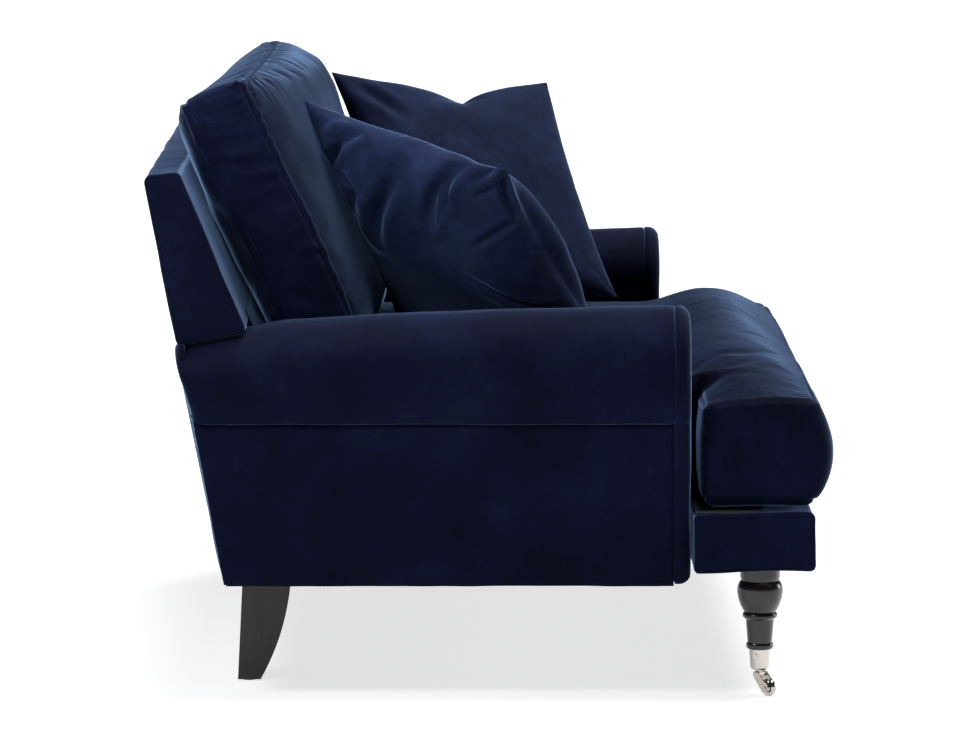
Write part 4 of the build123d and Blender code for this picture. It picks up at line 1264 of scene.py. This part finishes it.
def dress_cad():
    """Gives every CAD node the finish of its slot."""
    slots = {part["node"]: part["material_slot"] for part in frame["record"]["subparts"]}
    for name, node in frame["nodes"].items():
        node.data.materials.clear()
        node.data.materials.append(CAD_LOOKS[slots[name]])


# ---- Stage ----
FLOOR_HALF = 30.0
BACKDROP_RADIUS = 27
BACKDROP_HEIGHT = 2.6
BACKDROP_SIDES = 96
WHITE = (1, 1, 1, 1)


def stage_piece(name, vertices, faces, roughness, glow):
    """A pale part of the stage, from vertices in metres, that gives off some light."""
    mesh = bpy.data.meshes.new(name)
    mesh.from_pydata(vertices, [], faces)
    thing = place_in_scene(name, mesh)
    material, tree, shader = new_material(name)
    cloudy = noise_node(tree, object_place(tree), 3, 3.0)
    shade = ramp_node(tree, cloudy, [(0.3, grey(0.46)), (0.7, grey(0.50))])
    tree.links.new(shade, shader.inputs["Base Color"])
    shader.inputs["Roughness"].default_value = roughness
    shader.inputs["Emission Color"].default_value = WHITE
    shader.inputs["Emission Strength"].default_value = glow
    mesh.materials.append(material)


def place_in_scene(name, data):
    """An object of the given data, linked into the scene."""
    thing = bpy.data.objects.new(name, data)
    bpy.context.scene.collection.objects.link(thing)
    return thing


def make_floor():
    """A flat floor."""
    size = FLOOR_HALF
    vertices = [(-size, -size, 0), (size, -size, 0), (size, size, 0), (-size, size, 0)]
    stage_piece("floor", vertices, [(0, 1, 2, 3)], 0.5, 0.70)


def make_backdrop():
    """A low white wall far round the floor, so that no view from near the floor ends in the dark."""
    count = BACKDROP_SIDES
    turns = [index * math.tau / count for index in range(count)]
    ring = [(BACKDROP_RADIUS * math.cos(turn), BACKDROP_RADIUS * math.sin(turn)) for turn in turns]
    vertices = [(x, y, z) for z in (0.0, BACKDROP_HEIGHT) for x, y in ring]
    stage_piece("backdrop", vertices, ring_faces(2, count), 0.8, 1.0)


def sun_light(name, ahead, strength, softness):
    """A far, soft light that shines along ahead."""
    data = bpy.data.lights.new(name, "SUN")
    data.energy = strength
    data.angle = math.radians(softness)
    light = place_in_scene(name, data)
    light.rotation_euler = Vector(ahead).to_track_quat("-Z", "Y").to_euler()


def area_light(name, place, target, size, power):
    """A square light at a place, facing a target."""
    data = bpy.data.lights.new(name, "AREA")
    data.size = size
    data.energy = power
    light = place_in_scene(name, data)
    light.location = place
    light.rotation_euler = (Vector(target) - Vector(place)).to_track_quat("-Z", "Y").to_euler()


def make_lights():
    """A high soft key, a low sun on the front, a fill from behind the near arm, and a dim surround."""
    sun_light("key", (-0.16, 0.24, -0.96), 5.4, 38)
    sun_light("front", (-0.42, 0.88, -0.22), 0.7, 18)
    area_light("fill", (-1.25, 0.78, 1.30), (-0.35, 0.1, 0.66), 0.4, 15)
    world = bpy.data.worlds.new("studio")
    world.use_nodes = True
    background = world.node_tree.nodes["Background"]
    background.inputs["Color"].default_value = WHITE
    background.inputs["Strength"].default_value = 0.05
    bpy.context.scene.world = world


def make_camera():
    """The camera, level in roll, turned and tipped towards the sofa."""
    data = bpy.data.cameras.new("camera")
    data.sensor_width = 36.0
    data.lens = CAMERA_LENS
    data.clip_end = 100.0
    camera = place_in_scene("camera", data)
    ahead = Vector((math.cos(CAMERA_DOWN), 0, -math.sin(CAMERA_DOWN)))
    ahead.rotate(Matrix.Rotation(CAMERA_TURN, 3, "Z"))
    camera.location = CAMERA_PLACE
    camera.rotation_euler = ahead.to_track_quat("-Z", "Y").to_euler()
    bpy.context.scene.camera = camera


make_camera()
make_floor()
make_backdrop()
make_lights()
dress_cad()
for side_name, side_sign in SIDES.items():
    make_arm_roll(side_name, side_sign)
    make_side_panel(side_name, side_sign)
    make_facing(side_name, side_sign)
    make_scatter(side_name)
make_rear_panel()
make_border()
make_back_section()
make_back_tongue()
make_platform()
make_dust_sheet()
make_seat_cushion()
make_back_cushion()

bpy.context.scene.view_settings.view_transform = "Standard"
